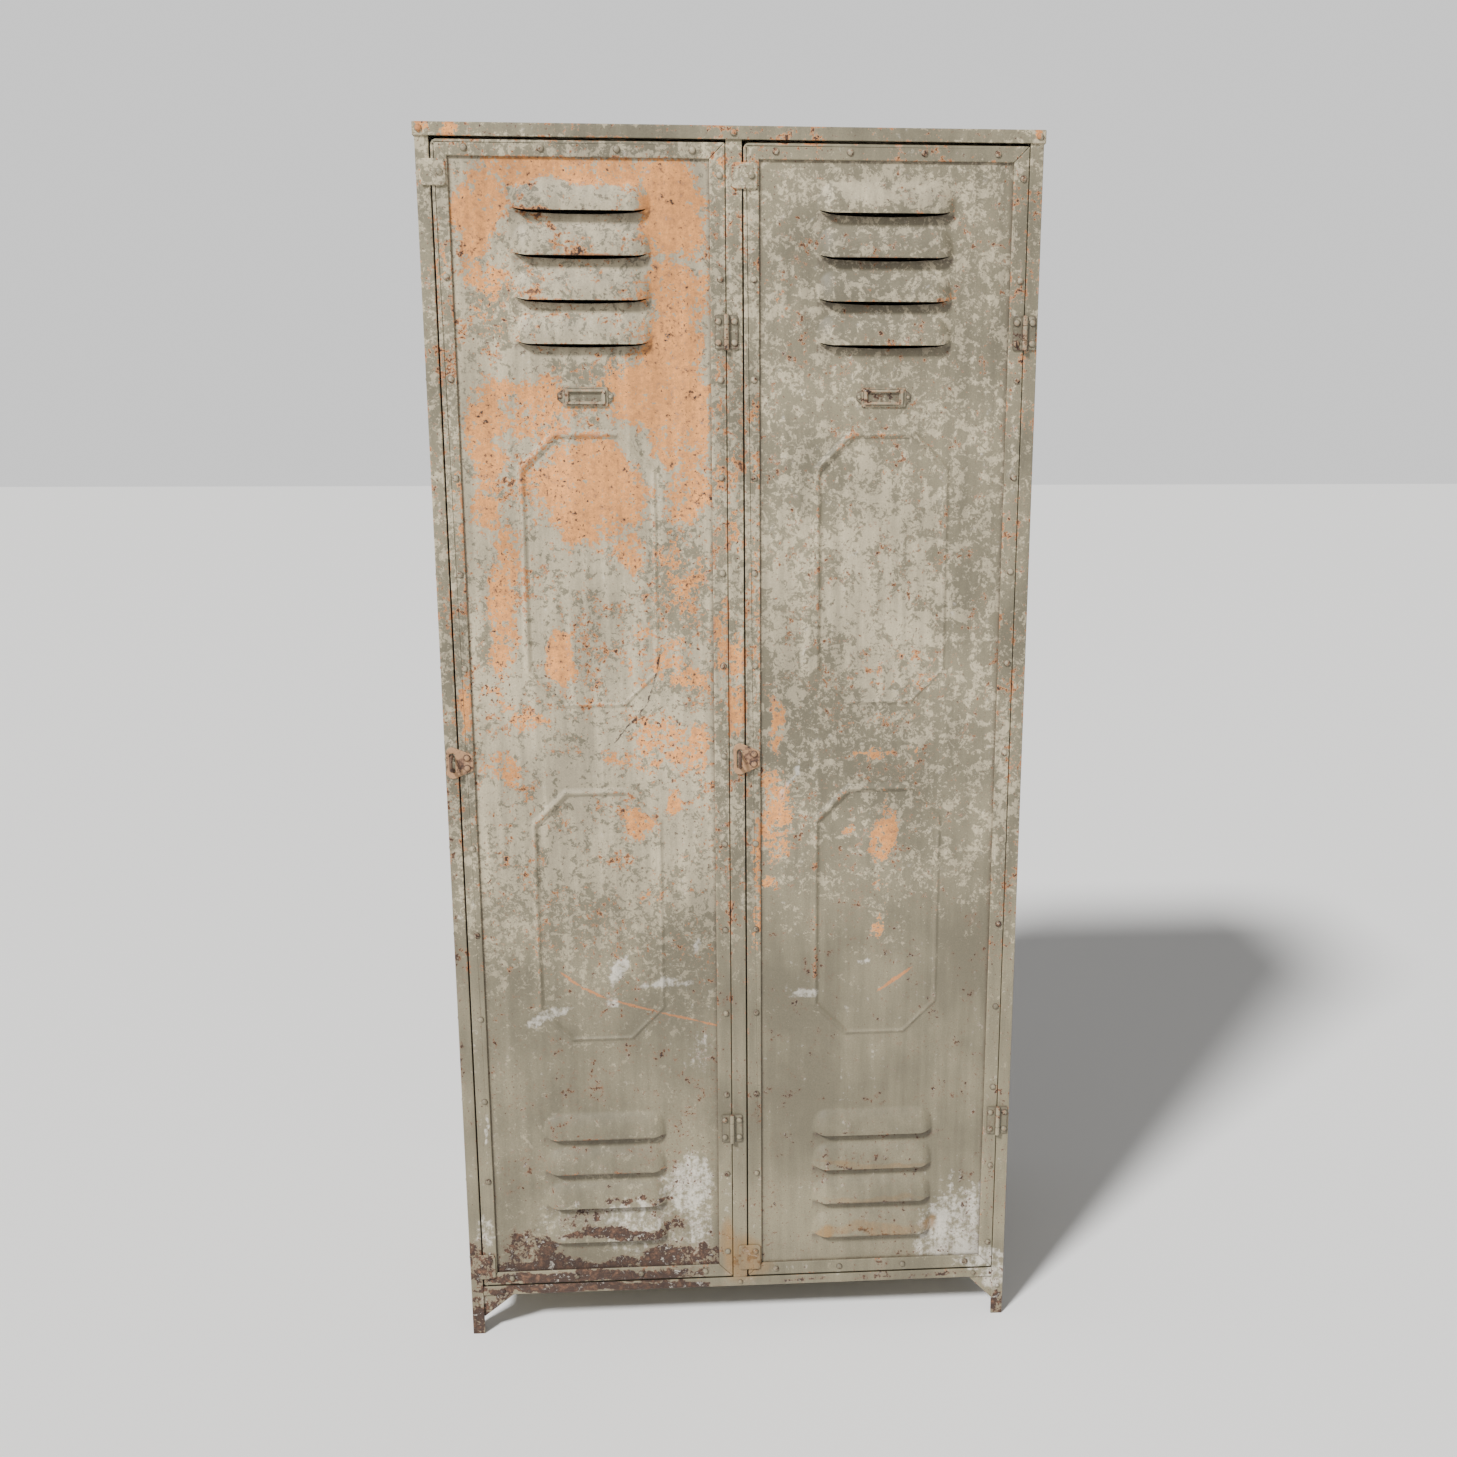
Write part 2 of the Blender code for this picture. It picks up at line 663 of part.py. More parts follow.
def label_holder(make, name, edges):
    """A pressed frame round a window, with a pointed ear and a rivet at each end."""
    centre = sum(edges) / 2
    half, tall = LABEL_BODY[0] / 2, LABEL_BODY[1] / 2
    ear = LABEL_EAR / 2
    tip, root = LABEL_EAR_TIP / 2, LABEL_EAR_ROOT / 2
    outer = [
        (centre + x, LABEL_HEIGHT + z)
        for x, z in (
            (half, -tall), (half, -root), (ear, -tip), (ear, tip), (half, root), (half, tall),
            (-half, tall), (-half, root), (-ear, tip), (-ear, -tip), (-half, -root), (-half, -tall),
        )
    ]
    w, h = LABEL_WINDOW[0] / 2, LABEL_WINDOW[1] / 2
    window = [(centre + x, LABEL_HEIGHT + z) for x, z in ((w, -h), (w, h), (-w, h), (-w, -h))]
    base = SHEET_OUT + GAP
    holder = make.add(
        name + "_label_holder",
        plate("XZ", [outer, window], forward(base), forward(base + LABEL_THICK)),
        GREEN_WORN,
    )
    card = block(
        (centre - w - 4 * MM, forward(base + LABEL_SLOT), LABEL_HEIGHT - h - 2 * MM),
        (centre + w + 4 * MM, forward(base - 1 * MM), LABEL_HEIGHT + tall + 1 * MM),
    )
    make.cut(holder, card)
    spots = [(centre + s * (half + LABEL_RIVET), LABEL_HEIGHT) for s in (-1, 1)]
    make.join(holder, rivet_heads(front_spots(spots, base + LABEL_THICK), size=0.55))


def hasp(make, name, edges):
    """A rounded plate riveted to the door, slotted over the staple on the frame."""
    free = edges[0]
    corners = (  # middle of each rounded corner, its radius, and the arc it turns through
        (free - HASP_OUTER + HASP_ROUND, HASP_TALL / 2 - HASP_ROUND, HASP_ROUND, 75, 180),
        (free - HASP_OUTER + HASP_ROUND, HASP_ROUND - HASP_TALL / 2, HASP_ROUND, 180, 285),
        (free + HASP_INNER - HASP_NOSE, HASP_NOSE - HASP_NARROW / 2, HASP_NOSE, 285, 360),
        (free + HASP_INNER - HASP_NOSE, HASP_NARROW / 2 - HASP_NOSE, HASP_NOSE, 0, 75),
    )
    outline = [
        point
        for x, rise, radius, start, end in corners
        for point in arc((x, HASP_HEIGHT + rise), radius, start, end, 3)
    ]
    slot_x = free - SLOT_OFFSET
    straight = SLOT_TALL / 2 - SLOT_WIDTH / 2
    slot = list(arc((slot_x, HASP_HEIGHT + straight), SLOT_WIDTH / 2, 0, 180, 4))
    slot += arc((slot_x, HASP_HEIGHT - straight), SLOT_WIDTH / 2, 180, 360, 4)
    piece = make.add(
        name + "_hasp", plate("XZ", [outline, slot], forward(GAP), forward(GAP + PLATE)), RUST
    )
    aside, rise = HASP_RIVET
    spots = [(free + aside, HASP_HEIGHT + dz) for dz in (rise, -rise)]
    make.join(piece, rivet_heads(front_spots(spots, GAP + PLATE)))


def staple(make, name, edges):
    """A half ring of round wire, upright, with its ends let into the frame."""
    x = edges[0] - SLOT_OFFSET
    crown = STAPLE_REACH - STAPLE_WIRE
    curve = bpy.data.curves.new(name, "CURVE")
    curve.dimensions = "3D"
    curve.bevel_depth = STAPLE_WIRE
    curve.bevel_resolution = 2
    curve.use_fill_caps = True
    bend = list(arc((0, 0), STAPLE_RADIUS, -90, 90, 8))
    points = [(GAP, -STAPLE_RADIUS)] + [(crown - STAPLE_RADIUS + a, b) for a, b in bend]
    points.append((GAP, STAPLE_RADIUS))
    spline = curve.splines.new("POLY")
    spline.points.add(len(points) - 1)
    for point, (reach, rise) in zip(spline.points, points):
        point.co = (x, forward(reach), HASP_HEIGHT + rise, 1)
    holder = bpy.data.objects.new(name, curve)
    bpy.context.scene.collection.objects.link(holder)
    mesh = bpy.data.meshes.new_from_object(
        holder.evaluated_get(bpy.context.evaluated_depsgraph_get())
    )
    bpy.data.objects.remove(holder)
    bpy.data.curves.remove(curve)
    form = bmesh.new()
    form.from_mesh(mesh)
    bmesh.ops.remove_doubles(form, verts=form.verts, dist=0.00001)
    bmesh.ops.recalc_face_normals(form, faces=form.faces)
    form.to_mesh(mesh)
    form.free()
    make.add(name, mesh, RUST, 0.7, 0.4)


def stop_tabs(make, name, edges):
    """Two plates on the free edge that land on the frame, so the door can't swing inwards."""
    free = edges[0]
    for place, (low, high) in (("top", TOP_TAB), ("bottom", BOTTOM_TAB)):
        outline = rounded_rectangle((free - TAB_OUTER, low), (free + TAB_INNER, high), TAB_ROUND)
        tab = make.add(
            f"{name}_{place}_stop_tab",
            plate("XZ", [outline], forward(GAP), forward(GAP + PLATE)), GREEN_WORN,
        )
        height = RIVET_TOP if place == "top" else side_rivet_heights()[-1]
        make.join(tab, rivet_heads(front_spots([(free + TAB_RIVET, height)], GAP + PLATE)))


# ---------------------------------------------------------------- hinges

def hinge_leaf(make, name, axis_x, height, sense, knuckles):
    """A leaf and its knuckles. sense is +1 where the leaf runs to the right of the pin."""
    axis_y = forward(AXIS_OUT)
    low, high = height - HINGE_TALL / 2, height + HINGE_TALL / 2
    near = axis_x + sense * 1 * MM
    far = axis_x + sense * HINGE_REACH
    x0, x1 = sorted((near, far))
    leaf = make.add(
        name, block((x0, forward(GAP + HINGE_LEAF), low), (x1, forward(GAP), high)), GREEN_WORN
    )
    aside, rise = LEAF_RIVET
    spots = [(axis_x + sense * aside, height + dz) for dz in (rise, -rise)]
    make.join(leaf, rivet_heads(front_spots(spots, GAP + HINGE_LEAF)))
    middle = MIDDLE_KNUCKLE / 2
    for start, end in knuckles:
        centre = (axis_x, axis_y, height + (start + end) / 2)
        make.join(leaf, rod("Z", centre, KNUCKLE_RADIUS, end - start, 12))
    away = KNUCKLE_RADIUS + 1.2 * MM
    gaps = [(-HINGE_TALL / 2 - 1 * MM, -middle + GAP), (middle - GAP, HINGE_TALL / 2 + 1 * MM)]
    if len(knuckles) == 2:
        gaps = [(-middle - GAP, middle + GAP)]
    for start, end in gaps:
        make.cut(
            leaf,
            block(
                (axis_x - away, axis_y - away, height + start),
                (axis_x + away, axis_y + away, height + end),
            ),
        )
    bore = rod("Z", (axis_x, axis_y, height), KNUCKLE_BORE, HINGE_TALL + 4 * MM, 12)
    make.cut(leaf, bore)


def knuckle_spans(owner):
    """Heights of a leaf's knuckles about the hinge's middle."""
    middle, end = MIDDLE_KNUCKLE / 2, HINGE_TALL / 2
    if owner == "door":
        return [(-middle + GAP, middle - GAP)]
    return [(-end, -middle - GAP), (middle + GAP, end)]


def frame_hinges(make, side, axis_x):
    """The fixed leaf of each hinge, and the pin it holds."""
    for place, height in zip(("upper", "lower"), HINGE_HEIGHTS):
        hinge_leaf(make, f"{side}_{place}_hinge_frame_leaf", axis_x, height, 1, knuckle_spans("frame"))
        pin = rod("Z", (axis_x, forward(AXIS_OUT), height), PIN_RADIUS, HINGE_TALL + 2 * MM, 12)
        make.add(f"{side}_{place}_hinge_pin", pin, RUST, 0.5, 0.7)


def door_hinges(make, side, axis_x):
    for place, height in zip(("upper", "lower"), HINGE_HEIGHTS):
        hinge_leaf(make, f"{side}_{place}_hinge_door_leaf", axis_x, height, -1, knuckle_spans("door"))


# ---------------------------------------------------------------- cabinet

def main():
    for leftover in list(bpy.data.objects):
        bpy.data.objects.remove(leftover)
    make = Builder(collection("locker_cabinet"), collection("cutters"))
    posts(make)
    centre_stile(make)
    top(make)
    walls(make)
    floor_and_shelves(make)
    bottom_rails(make)
    clothes_rails(make)
    gussets(make)
    for side, edges in DOOR_EDGES.items():
        axis_x = edges[1] + HINGE_SIDE_GAP / 2
        make.parent = None
        staple(make, side + "_staple", edges)
        frame_hinges(make, side, axis_x)
        make.pivot(side + "_door_pivot", (axis_x, forward(AXIS_OUT), DOOR_BOTTOM))
        name = side + "_door"
        door_panel(make, name, edges, LOUVRE_TOP_LIPS[side])
        door_frame(make, name, edges)
        label_holder(make, name, edges)
        hasp(make, name, edges)
        stop_tabs(make, name, edges)
        door_hinges(make, side, axis_x)


main()
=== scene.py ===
import math
from collections import namedtuple

import bmesh
import bpy
from bpy.props import FloatProperty, FloatVectorProperty, IntProperty, PointerProperty
from mathutils import Matrix, Vector
from mathutils.noise import noise_vector, seed_set


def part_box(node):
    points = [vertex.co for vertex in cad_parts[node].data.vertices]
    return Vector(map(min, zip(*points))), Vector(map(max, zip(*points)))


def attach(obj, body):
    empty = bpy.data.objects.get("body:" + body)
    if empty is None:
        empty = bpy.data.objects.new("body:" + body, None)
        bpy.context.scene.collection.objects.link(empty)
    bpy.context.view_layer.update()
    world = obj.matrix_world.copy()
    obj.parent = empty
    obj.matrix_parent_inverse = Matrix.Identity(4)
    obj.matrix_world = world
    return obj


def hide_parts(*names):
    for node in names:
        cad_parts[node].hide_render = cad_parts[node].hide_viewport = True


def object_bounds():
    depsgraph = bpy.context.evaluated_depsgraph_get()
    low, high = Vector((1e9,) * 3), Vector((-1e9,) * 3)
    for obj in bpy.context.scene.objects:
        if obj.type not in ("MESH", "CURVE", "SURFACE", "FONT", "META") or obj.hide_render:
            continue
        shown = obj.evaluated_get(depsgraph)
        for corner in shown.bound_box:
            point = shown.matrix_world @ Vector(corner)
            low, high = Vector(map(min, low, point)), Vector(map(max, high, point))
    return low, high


bl_info = {
    "name": "Riveted Locker Cabinet",
    "version": (1, 0, 0),
    "blender": (4, 5, 0),
    "location": "3D View > Sidebar > Locker",
    "description": "Makes the finished surfaces of an old riveted two-door steel locker",
    "category": "Object",
}

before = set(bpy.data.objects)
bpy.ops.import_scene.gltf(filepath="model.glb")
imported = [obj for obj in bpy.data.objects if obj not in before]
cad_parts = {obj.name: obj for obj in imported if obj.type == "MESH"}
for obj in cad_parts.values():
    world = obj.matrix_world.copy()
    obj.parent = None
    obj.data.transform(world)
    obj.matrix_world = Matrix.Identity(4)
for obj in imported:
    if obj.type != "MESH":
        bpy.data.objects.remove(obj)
CAD_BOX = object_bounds()

MM = 0.001
SIGNS = {"left": -1, "right": 1}
SHEET = 1.2 * MM
BAR = 3 * MM
GAP = 0.3 * MM
SHEET_OUT = -BAR - GAP  # front of the door sheets, measured out from the doors' face

# Planes of the carcass, read from the frame
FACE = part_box("centre_stile")[0].y  # front of the posts and of the door frames
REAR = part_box("back_panel")[1].y + BAR + GAP
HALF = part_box("right_side_panel")[1].x + BAR + GAP  # outer faces of the posts
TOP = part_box("top_panel")[1].z
BAND_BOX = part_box("top_band")

Door = namedtuple("Door", "side name free hinge low high centre")


def read_door(side):
    name = side + "_door"
    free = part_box(name + "_lock_bar")[0].x
    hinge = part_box(name + "_hinge_bar")[1].x
    low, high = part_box(name + "_bottom_bar")[0].z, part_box(name + "_top_bar")[1].z
    return Door(side, name, free, hinge, low, high, (free + hinge) / 2)


DOORS = {side: read_door(side) for side in SIGNS}
DOOR_BAR = 21 * MM
DOOR_BAR_DEPTH = 16 * MM
POST_FRONT, POST_SIDE = 18.5 * MM, 20 * MM
STILE_WEB = 17 * MM

# Rivets
RIVET_TOP, RIVET_PITCH, RIVET_COUNT = 1737 * MM, 134 * MM, 13
RIVET_HEIGHTS = [RIVET_TOP - i * RIVET_PITCH for i in range(RIVET_COUNT)]
CROSS_PITCH = 101 * MM
LOCK_RIVET, HINGE_RIVET, POST_RIVET, BAND_RIVET = 13.5 * MM, 7.5 * MM, 9 * MM, 9 * MM
LEG_RIVET = 50 * MM
RAIL_RIVET = 49 * MM

# Louvres and beads
LOUVRE_HALF = 94 * MM
LOUVRE_TALL = 41 * MM
LOUVRE_END = 25 * MM
LOUVRE_PITCH = 58 * MM
LOUVRES_PER_BANK = 4
LOUVRE_TOP_LIPS = {"left": (1690 * MM, 332 * MM), "right": (1690 * MM, 326 * MM)}
BEAD_HALF = 92 * MM  # to the middle of the bead
BEAD_CHAMFER = 48 * MM
BEAD_SPANS = ((1011 * MM, 1395 * MM), (494 * MM, 881 * MM))
BEAD_REACH = 60 * MM  # corner zone that holds a chamfer

# Fittings
LABEL_HEIGHT = 1446 * MM
HASP_HEIGHT = 929 * MM
SLOT_OFFSET = 9.5 * MM
HINGE_HEIGHTS = {"upper": 1533 * MM, "lower": 341 * MM}
HINGE_TALL, MIDDLE_KNUCKLE = 46 * MM, 20 * MM
AXIS_OUT = 4.5 * MM
TAB_SPANS = {"top": (1720 * MM, 1754 * MM), "bottom": (97 * MM, 139 * MM)}
TAB_OUTER, TAB_INNER = 16 * MM, 19 * MM
PLATE = 2 * MM
TAB_PLATE = 2.6 * MM
LABEL_EAR_HOLE = 34.4 * MM
LABEL_STEPS = (  # outer width and height, front and back, and the window's width and height, in mm
    (62, 26, 2, 0.5, 44, 12.5), (55, 20, 4.4, 1.5, 47, 14),
)
HASP_RIVETS = (11.5 * MM, 7.5 * MM)  # across from the door's free edge, and up or down
SLOT_STRAIGHT, SLOT_RADIUS = 10.5 * MM, 4 * MM
STAPLE_RING, STAPLE_WIRE = 10 * MM, 2.5 * MM
HINGE_SEAM = 0.5 * MM  # from a door's edge to its hinges' axis
LEAF_START, LEAF_END = 1 * MM, 16 * MM
LEAF_RIVETS = (11 * MM, 14 * MM)
KNUCKLE, PIN = 4 * MM, 2 * MM  # radii

# Top, stile and rods
BAND_PROUD, BAND_WALL = 2.5 * MM, 2.2 * MM
POST_TOP = TOP - PLATE - GAP
STILE_HALF = 11 * MM
ROD, CUP, CUP_BORE = 8 * MM, 14 * MM, 8.7 * MM  # radii
TRAY_FOLD = 1.8 * MM

MARK_DEPTH = 10 / 3  # in metres, so that a mark on a bar hardly fades from front to back
SHADE_EDGE, SHADE_LIP, DIRT_FOOT = 5 * MM, 15 * MM, 60 * MM  # how far painted shade reaches from the bars, painted shadow below the lips, and dirt up from the foot, on a door's sheet
STRAY_SEED = 7


def linear(code):
    """A hex sRGB colour, such as 'b4aa99', as a linear one."""
    parts = [int(code[i:i + 2], 16) / 255 for i in (0, 2, 4)]
    return tuple(c / 12.92 if c <= 0.04045 else ((c + 0.055) / 1.055) ** 2.4 for c in parts)


def colour(name, description, code):
    return FloatVectorProperty(
        name=name, description=description, subtype="COLOR", size=3, min=0, max=1, default=linear(code)
    )


def length(name, description, default):
    return FloatProperty(
        name=name, description=description, default=default * MM, min=0, subtype="DISTANCE", unit="LENGTH"
    )


class LockerSizes(bpy.types.PropertyGroup):
    rivet_radius: length("Rivet radius", "Radius of a rivet's head", 5.0)
    rivet_rise: length("Rivet rise", "Height of a rivet's head", 3.0)
    edge_round: length("Edge rounding", "Radius that paint and wear give the bars' edges", 1.3)
    louvre_depth: length("Louvre depth", "How far a louvre's hood stands out of the sheet", 11.5)
    louvre_curl: length("Louvre curl", "How far a hood's lip rises at its ends", 5)
    bead_rise: length("Bead rise", "Height of the pressed octagons", 4.6)
    bead_width: length("Bead width", "Width of the pressed octagons' bead", 11)
    dent_depth: length("Dent depth", "How deep the sheets are dented by use", 1.6)
    corner_round: length("Corner rounding", "Radius of the doors' rounded top corners", 8)
    dome_segments: IntProperty(
        name="Rivet segments", description="Segments round a rivet's head", default=14, min=6, max=48
    )


class LockerColours(bpy.types.PropertyGroup):
    top_coat: colour("Top coat", "Olive grey top coat of enamel", "7b735d")
    under_coat: colour("Undercoat", "Pale grey coat below the top coat", "aea287")
    primer: colour("Primer", "Salmon orange primer", "ea9f58")
    primer_dark: colour("Stained primer", "Primer stained by rust", "b57a4c")
    rust: colour("Rust", "Light brown rust", "7b5a45")
    rust_dark: colour("Old rust", "Dark brown rust", "3d2e27")
    rust_yellow: colour("Rust run", "Ochre stain that runs from wet rust", "866539")
    # Also used for a painted pool of light at the lower right of the right door.
    chalk: colour("Chalk", "Whitish bloom of flaking paint", "cfc9bc")
    rust_pale: colour("Handled rust", "Pale brown of rust that hands have rubbed", "a98360")
    steel: colour("Steel", "Dull bare steel", "6f6a63")
    floor: colour("Floor", "Studio floor", "f3f2f0")


# ---------------------------------------------------------------- meshes

PLANES = {  # an outline's plane: how two flat coordinates and a height across it are placed
    "XZ": lambda u, v, w: Vector((u, w, v)),
    "XY": lambda u, v, w: Vector((u, v, w)),
    "YZ": lambda u, v, w: Vector((w, u, v)),
}
FACINGS = {  # which way a rivet looks, as the turn of a dome that points up
    "front": Matrix.Rotation(math.pi / 2, 4, "X"),
    "rear": Matrix.Rotation(-math.pi / 2, 4, "X"),
    "left": Matrix.Rotation(-math.pi / 2, 4, "Y"),
    "right": Matrix.Rotation(math.pi / 2, 4, "Y"),
}


def out(distance):
    """The y of a plane this far in front of the doors' face."""
    return FACE - distance


def verts_of(made):
    return [item for item in made["geom"] if isinstance(item, bmesh.types.BMVert)]


def edges_of(made, part="geom"):
    return [item for item in made[part] if isinstance(item, bmesh.types.BMEdge)]


def slab(form, plane, outline, start, end, hole=None):
    """A flat outline, round a hole where one is given, made solid from start to end across its plane."""
    place = PLANES[plane]

    def ring(points):
        verts = [form.verts.new(place(u, v, start)) for u, v in points]
        return [form.edges.new(pair) for pair in zip(verts, verts[1:] + verts[:1])]

    edges = ring(outline)
    if hole:
        faces = bmesh.ops.bridge_loops(form, edges=edges + ring(hole))["faces"]
    else:
        faces = bmesh.ops.contextual_create(form, geom=edges)["faces"]
    made = bmesh.ops.extrude_face_region(form, geom=faces, use_keep_orig=True)
    bmesh.ops.translate(form, verts=verts_of(made), vec=place(0, 0, end - start))


def block(form, low, high):
    size = [h - l for l, h in zip(low, high)]
    middle = [(h + l) / 2 for l, h in zip(low, high)]
    matrix = Matrix.Translation(middle) @ Matrix.Diagonal((*size, 1))
    return bmesh.ops.create_cube(form, size=1, matrix=matrix)["verts"]


def arc(middle, radius, start, end, steps):
    for i in range(steps + 1):
        turn = math.radians(start + (end - start) * i / steps)
        yield middle[0] + radius * math.cos(turn), middle[1] + radius * math.sin(turn)


def rounded(low, high, radius, steps=4):
    """A rectangle with round corners, anticlockwise from its top right."""
    corners = (
        (high[0] - radius, high[1] - radius, 0), (low[0] + radius, high[1] - radius, 90),
        (low[0] + radius, low[1] + radius, 180), (high[0] - radius, low[1] + radius, 270),
    )
    return [p for u, v, turn in corners for p in arc((u, v), radius, turn, turn + 90, steps)]


def soften(form, radius, keep=lambda edge: False, steps=3):
    """Round every corner edge of the form, apart from those to keep sharp."""
    edges = [
        edge for edge in form.edges
        if len(edge.link_faces) == 2 and edge.calc_face_angle(0) > math.radians(40) and not keep(edge)
    ]
    bmesh.ops.bevel(
        form, geom=edges, offset=radius, segments=steps, profile=0.5, affect="EDGES", material=-1,
        clamp_overlap=True,
    )


def layer_of(form, name):
    """A number kept on each corner of a form, such as wear or grime, for its material to read."""
    return form.verts.layers.float.get(name) or form.verts.layers.float.new(name)


def rivet_domes(form, spots, sizes, facing="front", size=1):
    """Low round heads, centred on points of a surface: rubbed on top, with painted shade round the foot."""
    radius, rise = sizes.rivet_radius * size, sizes.rivet_rise * size
    wear, dirt_and_shade = layer_of(form, "wear"), layer_of(form, "dirt_and_shade")
    for spot in spots:
        made = bmesh.ops.create_uvsphere(
            form, u_segments=sizes.dome_segments, v_segments=8, radius=1,
            matrix=Matrix.Translation(spot) @ FACINGS[facing] @ Matrix.Diagonal((radius, radius, rise, 1)),
        )
        upright = FACINGS[facing] @ Vector((0, 0, 1 / rise))
        for vert in made["verts"]:
            height = upright.dot(vert.co - Vector(spot))
            vert[wear] = 1 if height > 0.65 else 0
            # Painted contact shade: a dark ring round the foot of each head.
            vert[dirt_and_shade] = min(1, max(0, 2.0 - 2.4 * height))


def wear_edges(form, inset=2.5 * MM):
    """Mark the form's corners as worn, and the middles of its wide faces as not."""
    bmesh.ops.recalc_face_normals(form, faces=form.faces)
    layer = layer_of(form, "wear")
    for vert in form.verts:
        vert[layer] = 1
    wide = [
        face for face in form.faces
        if face.calc_area() > 2.6 * inset * max(edge.calc_length() for edge in face.edges)
    ]
    known = set(form.verts)
    bmesh.ops.inset_individual(form, faces=wide, thickness=inset, use_even_offset=True)
    for vert in form.verts:
        if vert not in known:
            vert[layer] = 0


def plate(plane, outline, start, end, radius, inset=2.5 * MM, hole=None):
    """A slab with rounded edges that are worn along a strip of this width."""
    form = bmesh.new()
    slab(form, plane, outline, start, end, hole)
    soften(form, radius)
    wear_edges(form, inset)
    return form


def piece(name, form, material, body, stands_for=(), flat_shell=False):
    """Turn a form into a finished piece that rides on a body and stands for CAD nodes."""
    if not flat_shell:
        bmesh.ops.recalc_face_normals(form, faces=form.faces)
    if any(not edge.is_manifold for edge in form.edges):
        raise RuntimeError(f"{name} isn't closed")
    mesh = bpy.data.meshes.new(name)
    form.to_mesh(mesh)
    form.free()
    mesh.shade_smooth()
    mesh.set_sharp_from_angle(angle=math.radians(50))
    mesh.materials.append(material)
    made = bpy.data.objects.new(name, mesh)
    bpy.context.scene.collection.objects.link(made)
    even = made.modifiers.new("Even shading", "WEIGHTED_NORMAL")
    even.keep_sharp = True
    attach(made, body)
    if stands_for:
        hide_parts(*stands_for)
    return made


def graded(stops):
    """Positions from stop to stop, where (position, step) gives the longest step after it."""
    stops = sorted(stops)
    lines = []
    for (start, step), (end, _) in zip(stops, stops[1:]):
        count = max(1, math.ceil((end - start) / step - 0.001))
        lines += [start + (end - start) * i / count for i in range(count)]
    return lines + [stops[-1][0]]


def grid(form, across, up, place):
    """A grid of faces with its lines at the given positions."""
    bmesh.ops.create_grid(form, x_segments=len(across) - 1, y_segments=len(up) - 1, size=1)
    for vert in form.verts:
        i = round((vert.co.x + 1) / 2 * (len(across) - 1))
        j = round((vert.co.y + 1) / 2 * (len(up) - 1))
        vert.co = place(across[i], up[j])


def thicken(form, thickness):
    """Give an open sheet its thickness, behind its faces."""
    form.normal_update()
    bmesh.ops.solidify(form, geom=form.faces[:], thickness=thickness)
    bmesh.ops.recalc_face_normals(form, faces=form.faces)


def dented(x, z, dents, depth):
    """How far a sheet is pushed in at a place by soft dents: x, z, both radii, and part of the depth."""
    push = 0
    for at_x, at_z, wide, tall, part in dents:
        across, up = (x - at_x * MM) / (wide * MM), (z - at_z * MM) / (tall * MM)
        push += part * math.exp(-across ** 2 - up ** 2)
    return depth * push


# ---------------------------------------------------------------- paint and rust

def add(tree, kind, feeds=None, **settings):
    """Add a node. settings are its properties, and feeds gives its inputs nodes, sockets or values."""
    made = tree.nodes.new("ShaderNode" + kind)
    for name, value in settings.items():
        setattr(made, name, value)
    for place, value in (feeds or {}).items():
        if isinstance(value, bpy.types.Node):
            value = next(socket for socket in value.outputs if socket.enabled)
        if isinstance(value, bpy.types.NodeSocket):
            tree.links.new(value, made.inputs[place])
        else:
            made.inputs[place].default_value = value
    return made


def start_material(name):
    material = bpy.data.materials.new(name)
    material.use_nodes = True
    tree = material.node_tree
    tree.nodes.clear()
    return material, tree


def noise(size, detail=5, roughness=0.6, distortion=0):
    """Settings of a noise texture whose patches are about this many millimetres across."""
    return {"Scale": 1 / (size * MM), "Detail": detail, "Roughness": roughness, "Distortion": distortion}


def marks(tree, where, spots):
    """Soft ellipses in the XZ plane as one field: x, z, half width, half height, strength, tilt."""
    field = None
    for x, z, wide, tall, strength, *tilt in spots:
        turn = math.radians(tilt[0]) if tilt else 0
        near = add(
            tree, "Mapping",
            {"Vector": where, "Location": (x * MM, 0, z * MM), "Rotation": (0, -turn, 0),
             "Scale": (wide * MM, MARK_DEPTH, tall * MM)},
            vector_type="TEXTURE",
        )
        reach = add(tree, "VectorMath", {0: near}, operation="LENGTH").outputs["Value"]
        spot = add(
            tree, "MapRange",
            {"Value": reach, "From Min": 1.3, "From Max": 0.6, "To Min": 0.0, "To Max": strength},
            interpolation_type="SMOOTHSTEP",
        )
        field = spot if field is None else add(tree, "Math", {0: field, 1: spot}, operation="MAXIMUM")
    return field


def spots_at(place, spots):
    """Strength of the strongest of some soft ellipses at a place on a mesh."""
    best = 0
    for x, z, wide, tall, strength, *tilt in spots:
        away = Vector((place.x - x * MM, place.z - z * MM))
        if tilt:
            away.rotate(Matrix.Rotation(-math.radians(tilt[0]), 2))
        near = min(1, (1.3 - math.hypot(away.x / (wide * MM), away.y / (tall * MM))) / 0.7)
        if near > 0 and near * near * (3 - 2 * near) * abs(strength) > abs(best):
            best = near * near * (3 - 2 * near) * strength
    return best


def strays(tree, place, here, pattern, reach):
    """A place moved about by a noise, by up to half of this reach in metres."""
    moved = add(tree, "TexNoise", {"Vector": place, **pattern}).outputs["Color"]
    moved = add(tree, "VectorMath", {0: moved, 1: (reach,) * 3, 2: here}, operation="MULTIPLY_ADD")
    return add(tree, "VectorMath", {0: moved, 1: (reach / 2,) * 3}, operation="SUBTRACT")


def spread(tree, where, source):
    """Where a coat is gone: from the piece's own attribute of this name, or from a list of spots."""
    if isinstance(source, str):
        return add(tree, "Attribute", attribute_name=source).outputs["Fac"]
    return marks(tree, where, source)


def stroke(points, thick, strength):
    """Thin spots that follow a line of (x, z) points in mm."""
    for (x0, z0), (x1, z1) in zip(points, points[1:]):
        run, rise = x1 - x0, z1 - z0
        reach = math.hypot(run, rise) / 2 + thick
        yield (x0 + x1) / 2, (z0 + z1) / 2, reach, thick, strength, math.degrees(math.atan2(rise, run))


